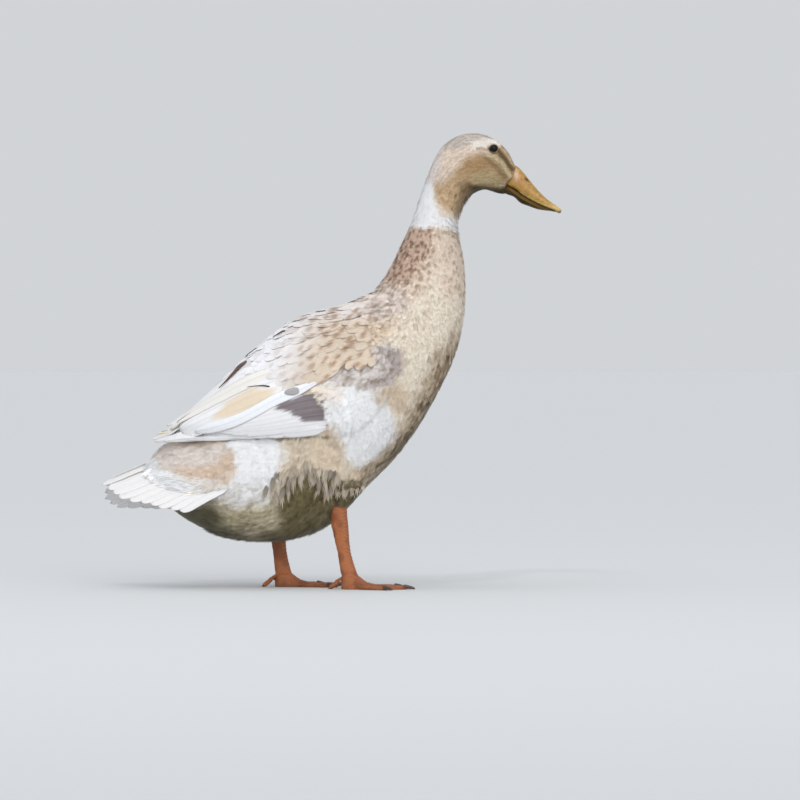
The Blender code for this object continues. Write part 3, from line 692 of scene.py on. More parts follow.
class Nodes:
    # short hand for wiring one material's nodes
    def __init__(self, name):
        self.mat = bpy.data.materials.new(name)
        self.mat.use_nodes = True
        self.tree = self.mat.node_tree
        self.shader = self.tree.nodes["Principled BSDF"]

    def add(self, kind, settings=None, **inputs):
        node = self.tree.nodes.new("ShaderNode" + kind)
        for key, value in (settings or {}).items():
            setattr(node, key, value)
        for key, value in inputs.items():
            self.wire(value, node.inputs[key])
        return node

    def wire(self, value, socket):
        if isinstance(value, bpy.types.Node):
            value = value.outputs[0]
        if isinstance(value, bpy.types.NodeSocket):
            self.tree.links.new(value, socket)
        else:
            socket.default_value = value

    def math(self, operation, *values):
        node = self.add("Math", {"operation": operation})
        for value, socket in zip(values, node.inputs):
            self.wire(value, socket)
        return node.outputs[0]

    def ramp(self, fac, *stops):
        node = self.add("ValToRGB", Fac=fac)
        ends = node.color_ramp.elements
        while len(ends) < len(stops):
            ends.new(1.0)
        for element, (place, colour) in zip(ends, stops):
            element.position = place
            element.color = (*colour, 1) if len(colour) == 3 else colour
        return node.outputs["Color"]

    def blendColour(self, mode, fac, a, b):
        node = self.add("Mix", {"data_type": "RGBA", "blend_type": mode})
        for k, value in ((0, fac), (6, a), (7, b)):      # the colour sockets among the node's others
            self.wire(value, node.inputs[k])
        return node.outputs[2]

    def place(self):
        return self.add("TexCoord").outputs["Object"]

    def tint(self):
        return self.add("Attribute", {"attribute_name": "tint"}).outputs["Color"]

    def noise(self, scale, detail=4.0, rough=0.55, vector=None):
        return self.add("TexNoise", Scale=scale, Detail=detail, Roughness=rough,
                        Vector=vector or self.place()).outputs["Fac"]

    def bump(self, height, distance, strength=1.0, normal=None):
        node = self.add("Bump", Height=height, Distance=distance, Strength=strength)
        if normal is not None:
            self.wire(normal, node.inputs["Normal"])
        return node.outputs["Normal"]

    def finished(self, colour, normal, values):
        # colour and relief on the shader, and plain numbers on its other sockets
        self.wire(colour, self.shader.inputs["Base Color"])
        if normal is not None:
            self.wire(normal, self.shader.inputs["Normal"])
        for key, value in values.items():
            self.shader.inputs[key].default_value = value
        return self.mat


def featherMaterial(name, barbs=1.0):
    # colour from the markings, fine barbs across each vane, a little mottling over the whole coat
    n = Nodes(name)
    f = finish
    vane = n.add("SeparateXYZ", Vector=n.add("UVMap", {"uv_map": "vane"}).outputs["UV"])
    out = n.math("ABSOLUTE", n.math("SUBTRACT", vane.outputs["X"], 0.5))
    phase = n.math("ADD", n.math("MULTIPLY", vane.outputs["Y"], f["barbs"] * barbs),
                   n.math("MULTIPLY", out, -f["barbSlant"] * barbs))
    ridge = n.math("SINE", n.math("MULTIPLY", phase, 2 * math.pi))
    shade = n.math("MULTIPLY_ADD", ridge, f["barbShade"] / 2, 1 - f["barbShade"] / 2)
    cloud = n.math("MULTIPLY_ADD", n.noise(f["mottleSize"]), f["mottle"] * 2, 1 - f["mottle"])
    level = n.math("MULTIPLY", shade, cloud)
    grey = n.add("CombineColor", Red=level, Green=level, Blue=level)
    colour = n.blendColour("MULTIPLY", 1.0, n.tint(), grey)
    return n.finished(colour, n.bump(ridge, f["barbBump"], f["barbRelief"]), {
        "Roughness": f["roughness"], "Specular IOR Level": f["specular"],
        "Sheen Weight": f["sheen"], "Sheen Roughness": f["sheenRoughness"]})


def skinMaterial():
    n = Nodes("skin under the coat")
    shade = n.ramp(n.noise(900.0), (0.3, (0.72, 0.70, 0.68)), (0.7, (0.92, 0.91, 0.90)))
    return n.finished(n.blendColour("MULTIPLY", 1.0, n.tint(), shade), n.bump(n.noise(1400.0), 0.0003),
                      {"Roughness": 0.85, "Specular IOR Level": 0.2})


def setTint(mesh, colours):
    layer = mesh.attributes.new("tint", "FLOAT_COLOR", "POINT")
    rgba = np.ones((len(colours), 4), np.float32)
    rgba[:, :3] = colours
    layer.data.foreach_set("color", rgba.ravel())


def dress(obj, material):
    obj.data.materials.clear()
    obj.data.materials.append(material)


def setUv(mesh, name, uv):
    layer = mesh.uv_layers.get(name) or mesh.uv_layers.new(name=name)
    layer.data.foreach_set("uv", uv.astype(np.float32).ravel())


setTint(flesh.data, markings(bodyUnits(outerCo)))
dress(flesh, skinMaterial())
downMaterial = featherMaterial("body feathers", 0.4)
vaneMaterial = featherMaterial("wing and tail vanes", 1.0)


# templates of one tuft; the coats below are joined meshes of many copies
blades = {
    # each blade of a tuft: turn in degrees, length, width, shift across
    "face": [(-10, 0.86, 0.30, -0.30), (-3, 1.0, 0.30, -0.10), (4, 0.96, 0.30, 0.10), (11, 0.84, 0.30, 0.30)],
    "lock": [(-10, 0.80, 0.25, -0.36), (-5, 0.95, 0.25, -0.18), (0, 1.0, 0.26, 0.0), (5, 0.93, 0.25, 0.18),
             (10, 0.82, 0.25, 0.36)],
    "wisp": [(-9, 0.80, 0.30, -0.30), (-3, 1.0, 0.30, -0.10), (4, 0.90, 0.30, 0.10), (9, 0.72, 0.28, 0.30)],
}


def bladeTemplate(name, cuts):
    # unit tuft: x across, y from root 0 to tip 1, z off the body
    bm = bmesh.new()
    for turn, reach, width, shift in blades[name]:
        made = bmesh.ops.create_grid(bm, x_segments=1, y_segments=cuts, size=0.5)["verts"]
        c, s = math.cos(math.radians(turn)), math.sin(math.radians(turn))
        for v in made:
            b = v.co.y + 0.5
            a = v.co.x * width * (1 - b ** 2.2) * (0.7 + 0.6 * min(b * 3, 1))
            v.co = (shift * b + a * c + b * reach * s, b * reach * c - a * s, -0.3 * abs(a))
        bmesh.ops.remove_doubles(bm, verts=made, dist=1e-4)
    return templateArrays(bm)


def vaneTemplate(across, along):
    # unit contour feather with a round, slightly ragged tip and a cambered web
    bm = bmesh.new()
    bmesh.ops.create_grid(bm, x_segments=across, y_segments=along, size=0.5)
    for v in bm.verts:
        b = v.co.y + 0.5
        half = math.sqrt(max(1 - max((b - 0.62) / 0.40, 0) ** 2, 0)) * (0.42 + 0.58 * min(b / 0.5, 1) ** 0.8)
        a = v.co.x * half
        tip = 0.10 * (a * 2) ** 2 * b
        v.co = (a, b - tip, -0.9 * a * a + 0.02 * math.cos(v.co.x * 12))
    return templateArrays(bm)


def templateArrays(bm):
    bm.verts.ensure_lookup_table()
    co = np.array([v.co for v in bm.verts], float)
    faces = [[v.index for v in f.verts] for f in bm.faces]
    bm.free()
    return co, faces


def templateCorners(template):
    # the point at each corner of a template's faces, and its place across and along
    shape, faces = template
    corner = np.concatenate([np.array(f) for f in faces])
    return corner, np.stack([shape[corner, 0] + 0.5, shape[corner, 1]], -1)


def joinedMesh(name, template, co, tint, bake, normals=None, material=None):
    # one mesh of many copies of a template: co and tint are (tufts, points, 3), bake (tufts, 2) in the unwrap
    faces = template[1]
    count, points = co.shape[:2]
    corner, local = templateCorners(template)
    sizes = np.array([len(f) for f in faces])
    mesh = bpy.data.meshes.new(name)
    mesh.vertices.add(count * points)
    mesh.vertices.foreach_set("co", co.astype(np.float32).ravel())
    mesh.loops.add(count * len(corner))
    loops = (corner[None, :] + (np.arange(count) * points)[:, None]).ravel()
    mesh.loops.foreach_set("vertex_index", loops.astype(np.int32))
    mesh.polygons.add(count * len(faces))
    starts = np.concatenate([[0], np.cumsum(sizes)[:-1]])
    starts = (starts[None, :] + (np.arange(count) * len(corner))[:, None]).ravel()
    mesh.polygons.foreach_set("loop_start", starts.astype(np.int32))
    mesh.update(calc_edges=True)
    mesh.shade_smooth()
    setTint(mesh, tint.reshape(-1, 3))
    setUv(mesh, "vane", np.tile(local, (count, 1)))
    setUv(mesh, "OFBake", bake[:, None, :] + (local[None, :, :] - 0.5) * patchSize)
    if normals is not None:
        mesh.normals_split_custom_set_from_vertices(normals.reshape(-1, 3).tolist())
    mesh.materials.append(material or downMaterial)
    return show(bpy.data.objects.new(name, mesh))


patchSize = 0.003                    # how much of the bake's unwrap one tuft takes


def unwrapPlaces(p):
    # places on the skin opened along the belly and stretched to fill the bake's square
    along, around = spinePlace(p)
    turn = around * np.sign(p[:, 1] + 1e-9)
    uv = np.stack([turn, along], -1)
    low, high = uv.min(0), uv.max(0)
    return 0.01 + 0.98 * (uv - low) / np.maximum(high - low, 1e-6)


def triangleArrays(mesh):
    mesh.calc_loop_triangles()
    t = np.empty(len(mesh.loop_triangles) * 3, np.int32)
    mesh.loop_triangles.foreach_get("vertices", t)
    return t.reshape(-1, 3)


skinTris = triangleArrays(flesh.data)
a, b, c = (skinCo[skinTris[:, k]] for k in range(3))
skinArea = np.linalg.norm(np.cross(b - a, c - a), axis=1) / 2


def scatter(count, seed):
    # places spread evenly over the skin: skin point, outer point, normal, coat depth, distance to the wing
    rng = np.random.default_rng(seed)
    chosen = rng.choice(len(skinTris), count, p=skinArea / skinArea.sum())
    weights = rng.dirichlet((1, 1, 1), count)

    def blend(values):
        return np.einsum("nk,nk...->n...", weights, values[skinTris[chosen]])
    return {"skin": bodyUnits(blend(skinCo)), "outer": bodyUnits(blend(outerCo)),
            "normal": unitRows(blend(outerNo)), "depth": blend(outerDepth), "wing": blend(wingGap)}


def chosenOf(places, mask):
    return {key: value[mask] for key, value in places.items()}


def thinned(places, spacing):
    # keeps one place in each cell of this size
    cell = np.floor(places["outer"] / spacing).astype(np.int64)
    _, first = np.unique(cell, axis=0, return_index=True)
    return chosenOf(places, np.sort(first))


def outerAt(points, tree):
    # nearest points and normals of the coat's outer face
    co = np.empty_like(points)
    no = np.empty_like(points)
    for i, point in enumerate(metres(points)):
        hit = tree.find_nearest(point)
        co[i] = hit[0]
        no[i] = hit[1]
    return bodyUnits(co), no


def alongSpine(value, q):
    # a plain number, or steps of (place along the spine, value)
    if isinstance(value, (int, float)):
        return np.full(len(q["along"]), float(value))
    steps = np.array(value, float)
    return np.interp(q["along"], steps[:, 0], steps[:, 1])


def swung(ahead, normal, turn, rng):
    # feathers turned a little to one side or the other
    yaw = np.radians(rng.normal(0, turn, len(ahead)))[:, None]
    return ahead * np.cos(yaw) + np.cross(normal, ahead) * np.sin(yaw)


def bent(shape, root, tip, normal, bulge, broad, curl, deep=1.0, tilt=0.0):
    # copies of a template bent from root to tip over a swelling middle, and the normals of their faces
    t = shape[None, :, 1, None]
    middle = (root + tip) / 2 + normal * bulge[:, None]
    line = (1 - t) ** 2 * root[:, None] + 2 * t * (1 - t) * middle[:, None] + t * t * tip[:, None]
    forward = unitRows(tip - root)
    aside = unitRows(np.cross(forward, normal))
    up = np.cross(aside, forward)
    aside = aside * np.cos(tilt) + up * np.sin(tilt)
    flat = shape[None, :, :, None] * broad[:, None, None, None]
    co = line + aside[:, None] * flat[:, :, 0] + up[:, None] * flat[:, :, 2] * deep
    return co, up[:, None] - aside[:, None] * (shape[None, :, 0, None] * curl), t


coatDefaults = {
    "turn": 6.0, "lift": (0.78, 1.0), "bulge": 0.08, "tone": 0.05, "soft": 0.80, "root": 0.84, "tip": 1.28,
    "stand": 0.2, "heading": None, "surface": None, "rootDepth": 0.4, "tilt": 8.0, "curl": 0.8,
}
whitest = 0.94                       # the palest a feather gets


def coat(name, places, template, settings, painted=markings):
    s = {**coatDefaults, **settings}
    rng = np.random.default_rng(s["seed"])
    q = thinned(places, s["spacing"] * fewer)
    count = len(q["outer"])
    size = alongSpine(s["length"], q) * rng.uniform(0.8, 1.2, count)
    broad = alongSpine(s["width"], q) * fewer * rng.uniform(0.85, 1.15, count)
    ahead = flow(q["outer"], q["normal"])
    if s["heading"] is not None:
        ahead = s["heading"](q, ahead)
    ahead = swung(ahead, q["normal"], s["turn"], rng)
    tipOuter, tipNormal = outerAt(q["outer"] + ahead * size[:, None], s["surface"] or outerTree)
    high = rng.uniform(*s["lift"], count)
    stood = (s["stand"](q) if callable(s["stand"]) else s["stand"]) * rng.uniform(0.1, 1.0, count)
    tip = tipOuter - tipNormal * (q["depth"] * (1 - high) - stood)[:, None]
    root = q["skin"] - q["normal"] * s["rootDepth"]
    tilt = np.radians(rng.normal(0, s["tilt"], count))[:, None]
    co, blade, t = bent(template[0], root, tip, q["normal"], size * s["bulge"], broad, s["curl"], tilt=tilt)
    base = painted(tip - ahead * (size * 0.15)[:, None]) * (1 + rng.normal(0, s["tone"], count)[:, None])
    tint = np.clip(base[:, None, :] * (s["root"] + (s["tip"] - s["root"]) * t), 0, whitest)
    body = q["normal"][:, None] * (1 - t) + tipNormal[:, None] * t
    normals = unitRows(unitRows(blade) * (1 - s["soft"]) + body * s["soft"])
    obj = joinedMesh(name, template, metres(co), tint, unwrapPlaces(q["outer"]), normals)
    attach(obj, "root")
    print(f"{name}: {count} tufts, {count * sum(len(f) - 2 for f in template[1])} triangles")


sampling = {"places": 700000, "quickPlaces": 200000, "quickSpread": 1.6, "seed": 5}
fewer = 1.0
places = scatter(sampling["places"], sampling["seed"])
places["along"], places["around"] = spinePlace(places["outer"])
face, lock, wisp = bladeTemplate("face", 2), bladeTemplate("lock", 2), bladeTemplate("wisp", 4)
px, py, pz = places["outer"].T
along = places["along"]
onBody = places["wing"] > 2.0
onWing = ~onBody & (px > -70)
sides = (("right", py < 0), ("left", py >= 0))
neckFrom, breastFrom, bellyFrom = 0.285, 0.43, 0.62    # places along the spine where the coat changes
rumpX = -118


def zone(mask):
    return chosenOf(places, mask)


def neckStand(q):
    # the throat's feathers and the ring's lower front stand a little off the neck
    front = smoothstep(0.5, 0.9, q["around"])
    throat = smoothstep(352, 362, q["outer"][:, 2]) * smoothstep(402, 390, q["outer"][:, 2])
    nape = smoothstep(0.3, 0.1, q["around"]) * smoothstep(368, 352, q["outer"][:, 2])
    return 0.15 + 3.4 * front * throat * smoothstep(148, 138, q["outer"][:, 0]) + 1.3 * nape


headCoat = {"spacing": 0.95, "length": [(0, 2.0), (0.08, 2.8), (0.2, 4.2), (0.29, 6.0)],
            "width": [(0, 1.5), (0.29, 2.7)], "stand": neckStand, "lift": (0.6, 1.05),
            "root": 0.82, "tip": 1.24, "tone": 0.08, "soft": 0.7, "seed": 21}
bare = (eyeGap(px, pz) <= 4.0) | (px >= 188)           # the eye, and the bill's root
coat("head_coat", zone((along < neckFrom) & onBody & ~bare), face, headCoat)

neckCoat = {"spacing": 1.42, "length": 8.0, "width": 3.3, "stand": neckStand, "root": 0.72, "tone": 0.07,
            "seed": 22}
onNeck = (along >= neckFrom) & (along < breastFrom)
coat("neck_coat", zone(onNeck & onBody), lock, neckCoat)

breastCoat = {"spacing": 1.85, "length": [(breastFrom, 9.5), (bellyFrom, 14.0)],
              "width": [(breastFrom, 3.8), (bellyFrom, 4.8)], "stand": 0.4, "tone": 0.06, "soft": 0.86,
              "seed": 23}
onBreast = (along >= breastFrom) & (along < bellyFrom)


def bellyStand(q):
    # the belly's lower edge is looser than the flank
    return 0.5 + 2.4 * smoothstep(0.72, 0.95, q["around"]) * smoothstep(30, -10, q["outer"][:, 0])


flankCoat = {"spacing": 2.0, "length": 14.0, "width": 4.9, "stand": bellyStand, "tone": 0.08, "soft": 0.86,
             "seed": 24}
onBelly = (along >= bellyFrom) & onBody
for side, mask in sides:
    coat("breast_coat_" + side, zone(onBreast & onBody & mask), lock, breastCoat)
    coat("flank_coat_" + side, zone(onBelly & (px > rumpX) & mask), lock, flankCoat)

rumpCoat = {"spacing": 2.0, "length": 15.0, "width": 5.0, "stand": 0.4, "surface": rearTree, "seed": 25}
coat("rump_coat", zone(onBelly & (px <= rumpX)), lock, rumpCoat)

# longer feathers from the rump's end over the roots of the tail
tailCoverts = {"spacing": 3.0, "length": 21.0, "width": 7.0, "stand": 2.6, "lift": (1.0, 1.2),
               "surface": rearTree, "root": 0.9, "tip": 1.16, "soft": 0.9, "seed": 30}
overTail = pz - np.interp(px, [-189, -149, -110], [114, 101, 97])
tailRoots = (px < -108) & (px > -178) & (overTail > 0) & (overTail < 14)
coat("tail_coverts", zone(tailRoots & onBody), wisp, tailCoverts)


def wispHeading(q, ahead):
    # hanging, swept back a little
    down = np.tile(unitRows(np.array([-0.22, 0.0, -1.0])), (len(ahead), 1))
    away = np.sum(down * q["normal"], axis=1, keepdims=True)
    return unitRows(down - q["normal"] * away * 0.8)


wingCoat = {"spacing": 2.0, "length": 11.0, "width": 4.4, "turn": 9.0, "stand": 0.3, "soft": 0.9,
            "tone": 0.06, "seed": 27}
# soft feathers over the roots of the flight feathers, and over the front edge of the back's vanes
greaterCoverts = {"spacing": 2.0, "length": 15.0, "width": 4.4, "turn": 7.0, "stand": 0.9,
                  "lift": (1.5, 2.4), "bulge": 0.10, "root": 0.94, "tip": 1.2, "tone": 0.03, "soft": 0.92,
                  "seed": 29}
greaterOutline = [(-10, 206), (4, 201), (17, 196), (22, 176), (19, 156), (8, 152), (3, 160), (3, 176),
                  (0, 190)]
mantle = {"spacing": 1.9, "length": 15.0, "width": 4.6, "turn": 8.0, "stand": 0.9, "lift": (1.2, 1.9),
          "bulge": 0.10, "root": 0.86, "soft": 0.86, "seed": 31}
mantleOutline = [(34, 296), (58, 296), (67, 262), (64, 240), (52, 236), (45, 244), (46, 264), (38, 280)]
flankWisps = {"spacing": 5.6, "length": 21.0, "width": 5.6, "turn": 13.0, "stand": 5.5,
              "heading": wispHeading, "lift": (0.9, 1.3), "bulge": 0.10, "root": 0.50, "tip": 0.92,
              "tone": 0.2, "soft": 0.5, "seed": 28}
wispOutline = [(-62, 110), (-50, 127), (-22, 136), (-4, 128), (14, 122), (36, 114), (22, 103), (-4, 106),
               (-14, 120), (-34, 120), (-46, 106), (-58, 99)]


def wispPaint(p):
    return np.tile(0.8 * palette["wisp"], (len(p), 1))


def within(outline, soft=1.0):
    return inside(px, pz, outline, soft) > 0.5


for side, mask in sides:
    coat("wing_front_coat_" + side, zone(onWing & mask), lock, wingCoat)
    roots = zone(onWing & mask & within(greaterOutline))
    coat("greater_coverts_" + side, roots, lock, greaterCoverts)
    coat("mantle_coat_" + side, zone(mask & within(mantleOutline)), lock, mantle)
    hang = zone(onBody & mask & within(wispOutline, 2.0) & (np.abs(py) > 24))
    coat("flank_wisps_" + side, hang, wisp, flankWisps, painted=wispPaint)
print("coat laid")
wingPlan = [
    # flight feathers from the lowest up: stations from the side, width, height over the wing, colour, tip
    ([(-83, 186), (-130, 170), (-175, 154)], 11, 0.2, "primary", "point"),
    ([(-60, 172), (-118, 163), (-179, 149)], 13, 0.3, "white", "point"),
    ([(-43, 163), (-110, 158), (-177, 147)], 12, 0.4, "white", "point"),
    ([(-43, 160), (-105, 156), (-168, 147.5)], 11, 0.6, "white", "point"),
    ([(-30, 158), (-90, 154.5), (-154, 150)], 10, 0.8, "white", "point"),
    ([(-11, 176), (-60, 163), (-132, 153.5)], 13, 1.0, "white", "round"),
    ([(-13, 172.8), (-55, 161.5), (-116, 154.5)], 13, 1.2, "white", "round"),
    ([(-15, 169.6), (-50, 160.5), (-100, 155)], 13, 1.4, "white", "round"),
    ([(-15, 166.4), (-45, 160), (-84, 156)], 13, 1.6, "white", "round"),
    ([(-13, 163.5), (-40, 159), (-67, 156.5)], 13, 1.8, "white", "round"),
    ([(-6, 161.5), (-28, 158.5), (-50, 157)], 12, 2.0, "white", "round"),
    ([(0, 168), (-30, 164), (-64, 159.5), (-96, 157)], 12, 2.2, "speculum", "round"),
    ([(0, 172), (-30, 168), (-66, 162), (-104, 157.5)], 12, 2.4, "speculum", "round"),
    ([(0, 176.5), (-32, 172), (-68, 165), (-112, 158.5)], 12, 2.6, "speculum", "round"),
    ([(-1, 181.5), (-34, 176.5), (-70, 168), (-120, 159.5)], 12, 2.8, "speculum", "round"),
    ([(-4, 187), (-34, 181.5), (-72, 171.5), (-128, 160.5)], 12, 3.0, "speculum", "round"),
    ([(-9, 193), (-34, 187), (-74, 175), (-132, 161.5)], 13, 3.2, "speculum", "round"),
    ([(-30, 205), (-70, 186), (-140, 159)], 17, 3.4, "white", "round"),
    ([(-40, 214), (-80, 196), (-150, 159)], 18, 3.6, "white", "round"),
    ([(-40, 209), (-62, 197), (-88, 187), (-112, 173), (-148, 158.5)], 27, 3.8, "buff", "round"),
    ([(-14, 207), (-33, 197.5), (-52, 190), (-74, 177), (-98, 166), (-134, 158)], 11.5, 4.2, "bar", "round"),
    ([(-46, 222), (-90, 200), (-160, 160)], 16, 4.3, "cream", "round"),
]

upperPlan = [
    # long feathers of the back: stations as (x, distance down from the spine)
    ([(-56, 70), (-104, 50), (-164, 27)], 19, 2.4, "white", "round"),
    ([(-58, 60), (-102, 44), (-160, 22)], 19, 2.6, "white", "round"),
    ([(-58, 50), (-100, 35), (-164, 15)], 18, 2.8, "white", "round"),
    ([(-58, 40), (-98, 27), (-158, 11)], 17, 2.4, "backWhite", "round"),
    ([(-60, 28), (-94, 18), (-148, 8)], 15, 2.2, "backWhite", "round"),
    ([(-62, 15), (-90, 9), (-136, 6)], 12, 1.8, "backWhite", "round"),
]

slits = [
    # dark inner webs that show as slivers between the white feathers
    ([(-81, 230), (-94, 214.5), (-110, 197)], 9.5, 4.6, "dark", "wedge"),
    ([(-44, 257), (-50, 253), (-57, 248)], 3.0, 3.6, "dark", "wedge"),
    ([(-57, 200.5), (-69, 201.2), (-82, 199.5)], 1.5, 4.6, "dark", "wedge"),
    ([(-132, 176), (-142, 170), (-152, 163)], 1.7, 4.4, "dark", "wedge"),
    ([(-30, 198), (-38, 196.5), (-46, 195)], 7.0, 4.8, "spot", "oval"),
]

wingTones = named(
    white=(226, 226, 228), cream=(224, 221, 216), primary=(224, 208, 168), buff=(217, 201, 178),
    bar=(227, 230, 234), backWhite=(208, 204, 206), dark=(84, 60, 50), spot=(166, 164, 164),
    speculum=(112, 104, 107), edge=(160, 150, 140), line=(190, 182, 176),
)

# where the grey patch and the buff patch show on the folded wing
speculumOutline = [(-56.5, 180.4), (-47, 190), (-40, 189), (-28, 194.2), (-19, 198.5), (-2, 185), (-5, 168.5),
                   (-28, 167), (-40, 176.8)]
buffOutline = [(-121, 169), (-105.5, 186.5), (-81.5, 200), (-54, 199.4), (-60, 189), (-79.7, 179),
               (-100, 171)]

bigFeather = {
    "along": 42, "across": 10, "stations": 21, "eased": 4,
    "shaftHeight": 0.30, "camber": 0.4, "thickness": 0.00022, "fray": 0.05,
}
castFrom = 140.0                     # rays at the body start this far out, and stop at its middle


def walk(points):
    # distance walked along a line of points
    return np.concatenate([[0], np.cumsum(np.linalg.norm(np.diff(points, axis=0), axis=1))])


def curveThrough(points, count):
    p = np.array(points, float)
    walked = walk(p) / walk(p)[-1]
    slope = np.gradient(p, walked, axis=0)
    t = np.linspace(0, 1, count)
    k = np.clip(np.searchsorted(walked, t) - 1, 0, len(walked) - 2)
    h = (walked[k + 1] - walked[k])[:, None]
    s = ((t - walked[k]) / h[:, 0])[:, None]
    return (p[k] * (1 + 2 * s) * (1 - s) ** 2 + slope[k] * h * s * (1 - s) ** 2
            + p[k + 1] * s * s * (3 - 2 * s) + slope[k + 1] * h * s * s * (s - 1))


def smoothWing(name):
    # a smoother copy of a folded wing's solid, to lay feathers on
    obj = newPiece("lay " + name, mergedCopy(name))
    rounded(obj, 2)
    applyModifiers(obj)
    tree = treeOf(obj.data)
    bpy.data.objects.remove(obj)
    return tree


wingTrees = {-1.0: smoothWing("wing_right"), 1.0: smoothWing("wing_left")}


def castOn(tree, origin, direction, reach):
    hit = tree.ray_cast(Vector(metres(origin)), Vector(direction), reach * unit)
    if hit[0] is None:
        return None
    return bodyUnits(hit[0]), np.array(hit[1])


def nearestOn(tree, point):
    hit = tree.find_nearest(Vector(metres(point)))
    return bodyUnits(hit[0]), np.array(hit[1])


def sideStation(x, z, side):
    # the wing's outer face at a side-view place, or its nearest edge
    found = castOn(wingTrees[side], (x, side * castFrom, z), (0, -side, 0), castFrom - 1)
    if found is None:
        near, normal = nearestOn(wingTrees[side], (x, side * 60, z))
        return np.array([x, near[1], z]), normal
    return found


def spineHeight(x):
    return np.interp(x, [-192, -168, -137.5, -84.5, -33, 14, 53.5, 84],
                     [104, 99, 97.5, 107.5, 152, 203.7, 250, 287])


profiles = {}


def profileAt(x, side):
    # outline of the wing and back at x, from the ridge down one side: distance walked, points, normals
    key = (round(float(x) * 2) / 2, side)
    if key not in profiles:
        centre = np.array([key[0], 0, spineHeight(key[0])])
        rows = []
        for angle in np.radians(np.arange(1.5, 150, 3.0)):
            ray = np.array([0, math.sin(angle) * side, math.cos(angle)])
            hits = [castOn(tree, centre + ray * castFrom, -ray, castFrom - 1)
                    for tree in (wingTrees[side], outerTree)]
            hits = [h for h in hits if h is not None]
            if hits:
                rows.append(max(hits, key=lambda h: np.dot(h[0] - centre, ray)))
        points = np.array([h[0] for h in rows])
        profiles[key] = (walk(points), points, np.array([h[1] for h in rows]))
    return profiles[key]


def wrapStation(x, down, side):
    # the wing's or back's outer face this far round from the ridge, at x
    walked, points, normals = profileAt(x, side)
    point = np.array([np.interp(down, walked, points[:, k]) for k in range(3)])
    normal = np.array([np.interp(down, walked, normals[:, k]) for k in range(3)])
    point[0] = x
    return point, unitRows(normal)


def wingTint(kind, p, a, b, index):
    # colours over one big feather; a runs across from -1 to 1, b from root to tip
    c = np.tile(wingTones["white" if kind in ("speculum", "buff") else kind], (len(p), 1))
    streak = wobble(np.stack([a * 5.0 + index * 7.3, b * 2.2, np.zeros_like(a)], -1), 1.0, index)
    fine = wobble(np.stack([a * 14.0 + index * 3.1, b * 3.0, np.zeros_like(a)], -1), 1.0, index + 9)
    x, z = p[:, 0] + (fine - 0.5) * 5, p[:, 2] + (fine - 0.5) * 1.5
    if kind == "speculum":
        shade = wingTones["speculum"] * (0.80 + 0.30 * streak[:, None] + 0.28 * fine[:, None])
        c = mix(c, shade, inside(x, z, speculumOutline, 1.6))
    if kind in ("buff", "cream", "white"):
        c = mix(c, wingTones["buff"], inside(x, z, buffOutline, 3.0))
    if kind == "primary":
        c = mix(c, wingTones["dark"], smoothstep(0.35, 0.9, a) * 0.7)
    if kind in ("white", "cream", "bar", "backWhite"):
        c = mix(c, wingTones["line"], 0.32 * smoothstep(0.80, 1.0, np.abs(a)) + 0.10 * (streak > 0.62))
    shaft = np.exp(-(a / 0.09) ** 2) * (0.18 if kind not in ("dark", "spot") else 0.0)
    c = mix(c, wingTones["edge"], shaft)
    return c * (0.95 + 0.05 * streak[:, None] + 0.03 * fine[:, None])


def bigTemplate():
    g = bigFeather
    bm = bmesh.new()
    bmesh.ops.create_grid(bm, x_segments=g["across"], y_segments=g["along"], size=0.5)
    for v in bm.verts:
        v.co.y += 0.5
    return templateArrays(bm)


def laidVanes(name, template, places, tints, thickness):
    # one mesh of big feathers; every one has a strip of its own in the bake
    count = len(places)
    obj = joinedMesh(name, template, metres(np.array(places)), np.clip(np.array(tints), 0, 1),
                     np.zeros((count, 2)), None, vaneMaterial)
    _, local = templateCorners(template)
    strip = np.stack([(np.arange(count)[:, None] + 0.05 + 0.9 * local[None, :, 0]) / count,
                      np.tile(local[None, :, 1] * 0.98 + 0.01, (count, 1))], -1)
    setUv(obj.data, "OFBake", strip)
    thickened(obj, thickness)
    print(f"{name}: {count} feathers")
    return obj


tipShapes = {
    # half width from root 0 to tip 1
    "point": lambda b: np.clip((1 - b) / 0.34, 0, 1) ** 0.6,
    "oval": lambda b: np.sqrt(np.clip(1 - (2 * b - 1) ** 2, 0, 1)),
    "wedge": lambda b: np.clip((1 - b) / 0.8, 0, 1),
    "round": lambda b: np.sqrt(np.clip(1 - (np.clip(b - 0.80, 0, 1) / 0.2) ** 2, 0, 1)),
}


def featherOn(shape, centre, normal, width, height, tipKind, cast):
    # one big feather laid along its centre line; cast drops a point on the surface below it
    g = bigFeather
    a, b = shape[:, 0] * 2, shape[:, 1]
    row = b * (len(centre) - 1)
    low = np.clip(np.floor(row).astype(int), 0, len(centre) - 2)
    f = (row - low)[:, None]
    mid = centre[low] * (1 - f) + centre[low + 1] * f
    no = unitRows(normal[low] * (1 - f) + normal[low + 1] * f)
    tangent = unitRows(np.gradient(centre, axis=0))
    ahead = unitRows(tangent[low] * (1 - f) + tangent[low + 1] * f)
    aside = unitRows(np.cross(no, ahead))
    profile = tipShapes[tipKind](b) * (0.45 + 0.55 * smoothstep(0.0, 0.25, b))
    ragged = wobble(np.stack([b * 30 + width, a * 0.5, b * 0], -1), 1.0, int(width * 7)) - 0.5
    half = width / 2 * profile * (1 + g["fray"] * ragged * np.abs(a))
    p = mid + aside * (a * half)[:, None]
    out = np.array([cast(point, up) for point, up in zip(p, no)])
    rise = height * (0.25 + 0.75 * smoothstep(0.0, 0.35, b)) + g["camber"] * (1 - a * a) \
        + g["shaftHeight"] * np.exp(-(a / 0.10) ** 2)
    return out + no * rise[:, None], a, b


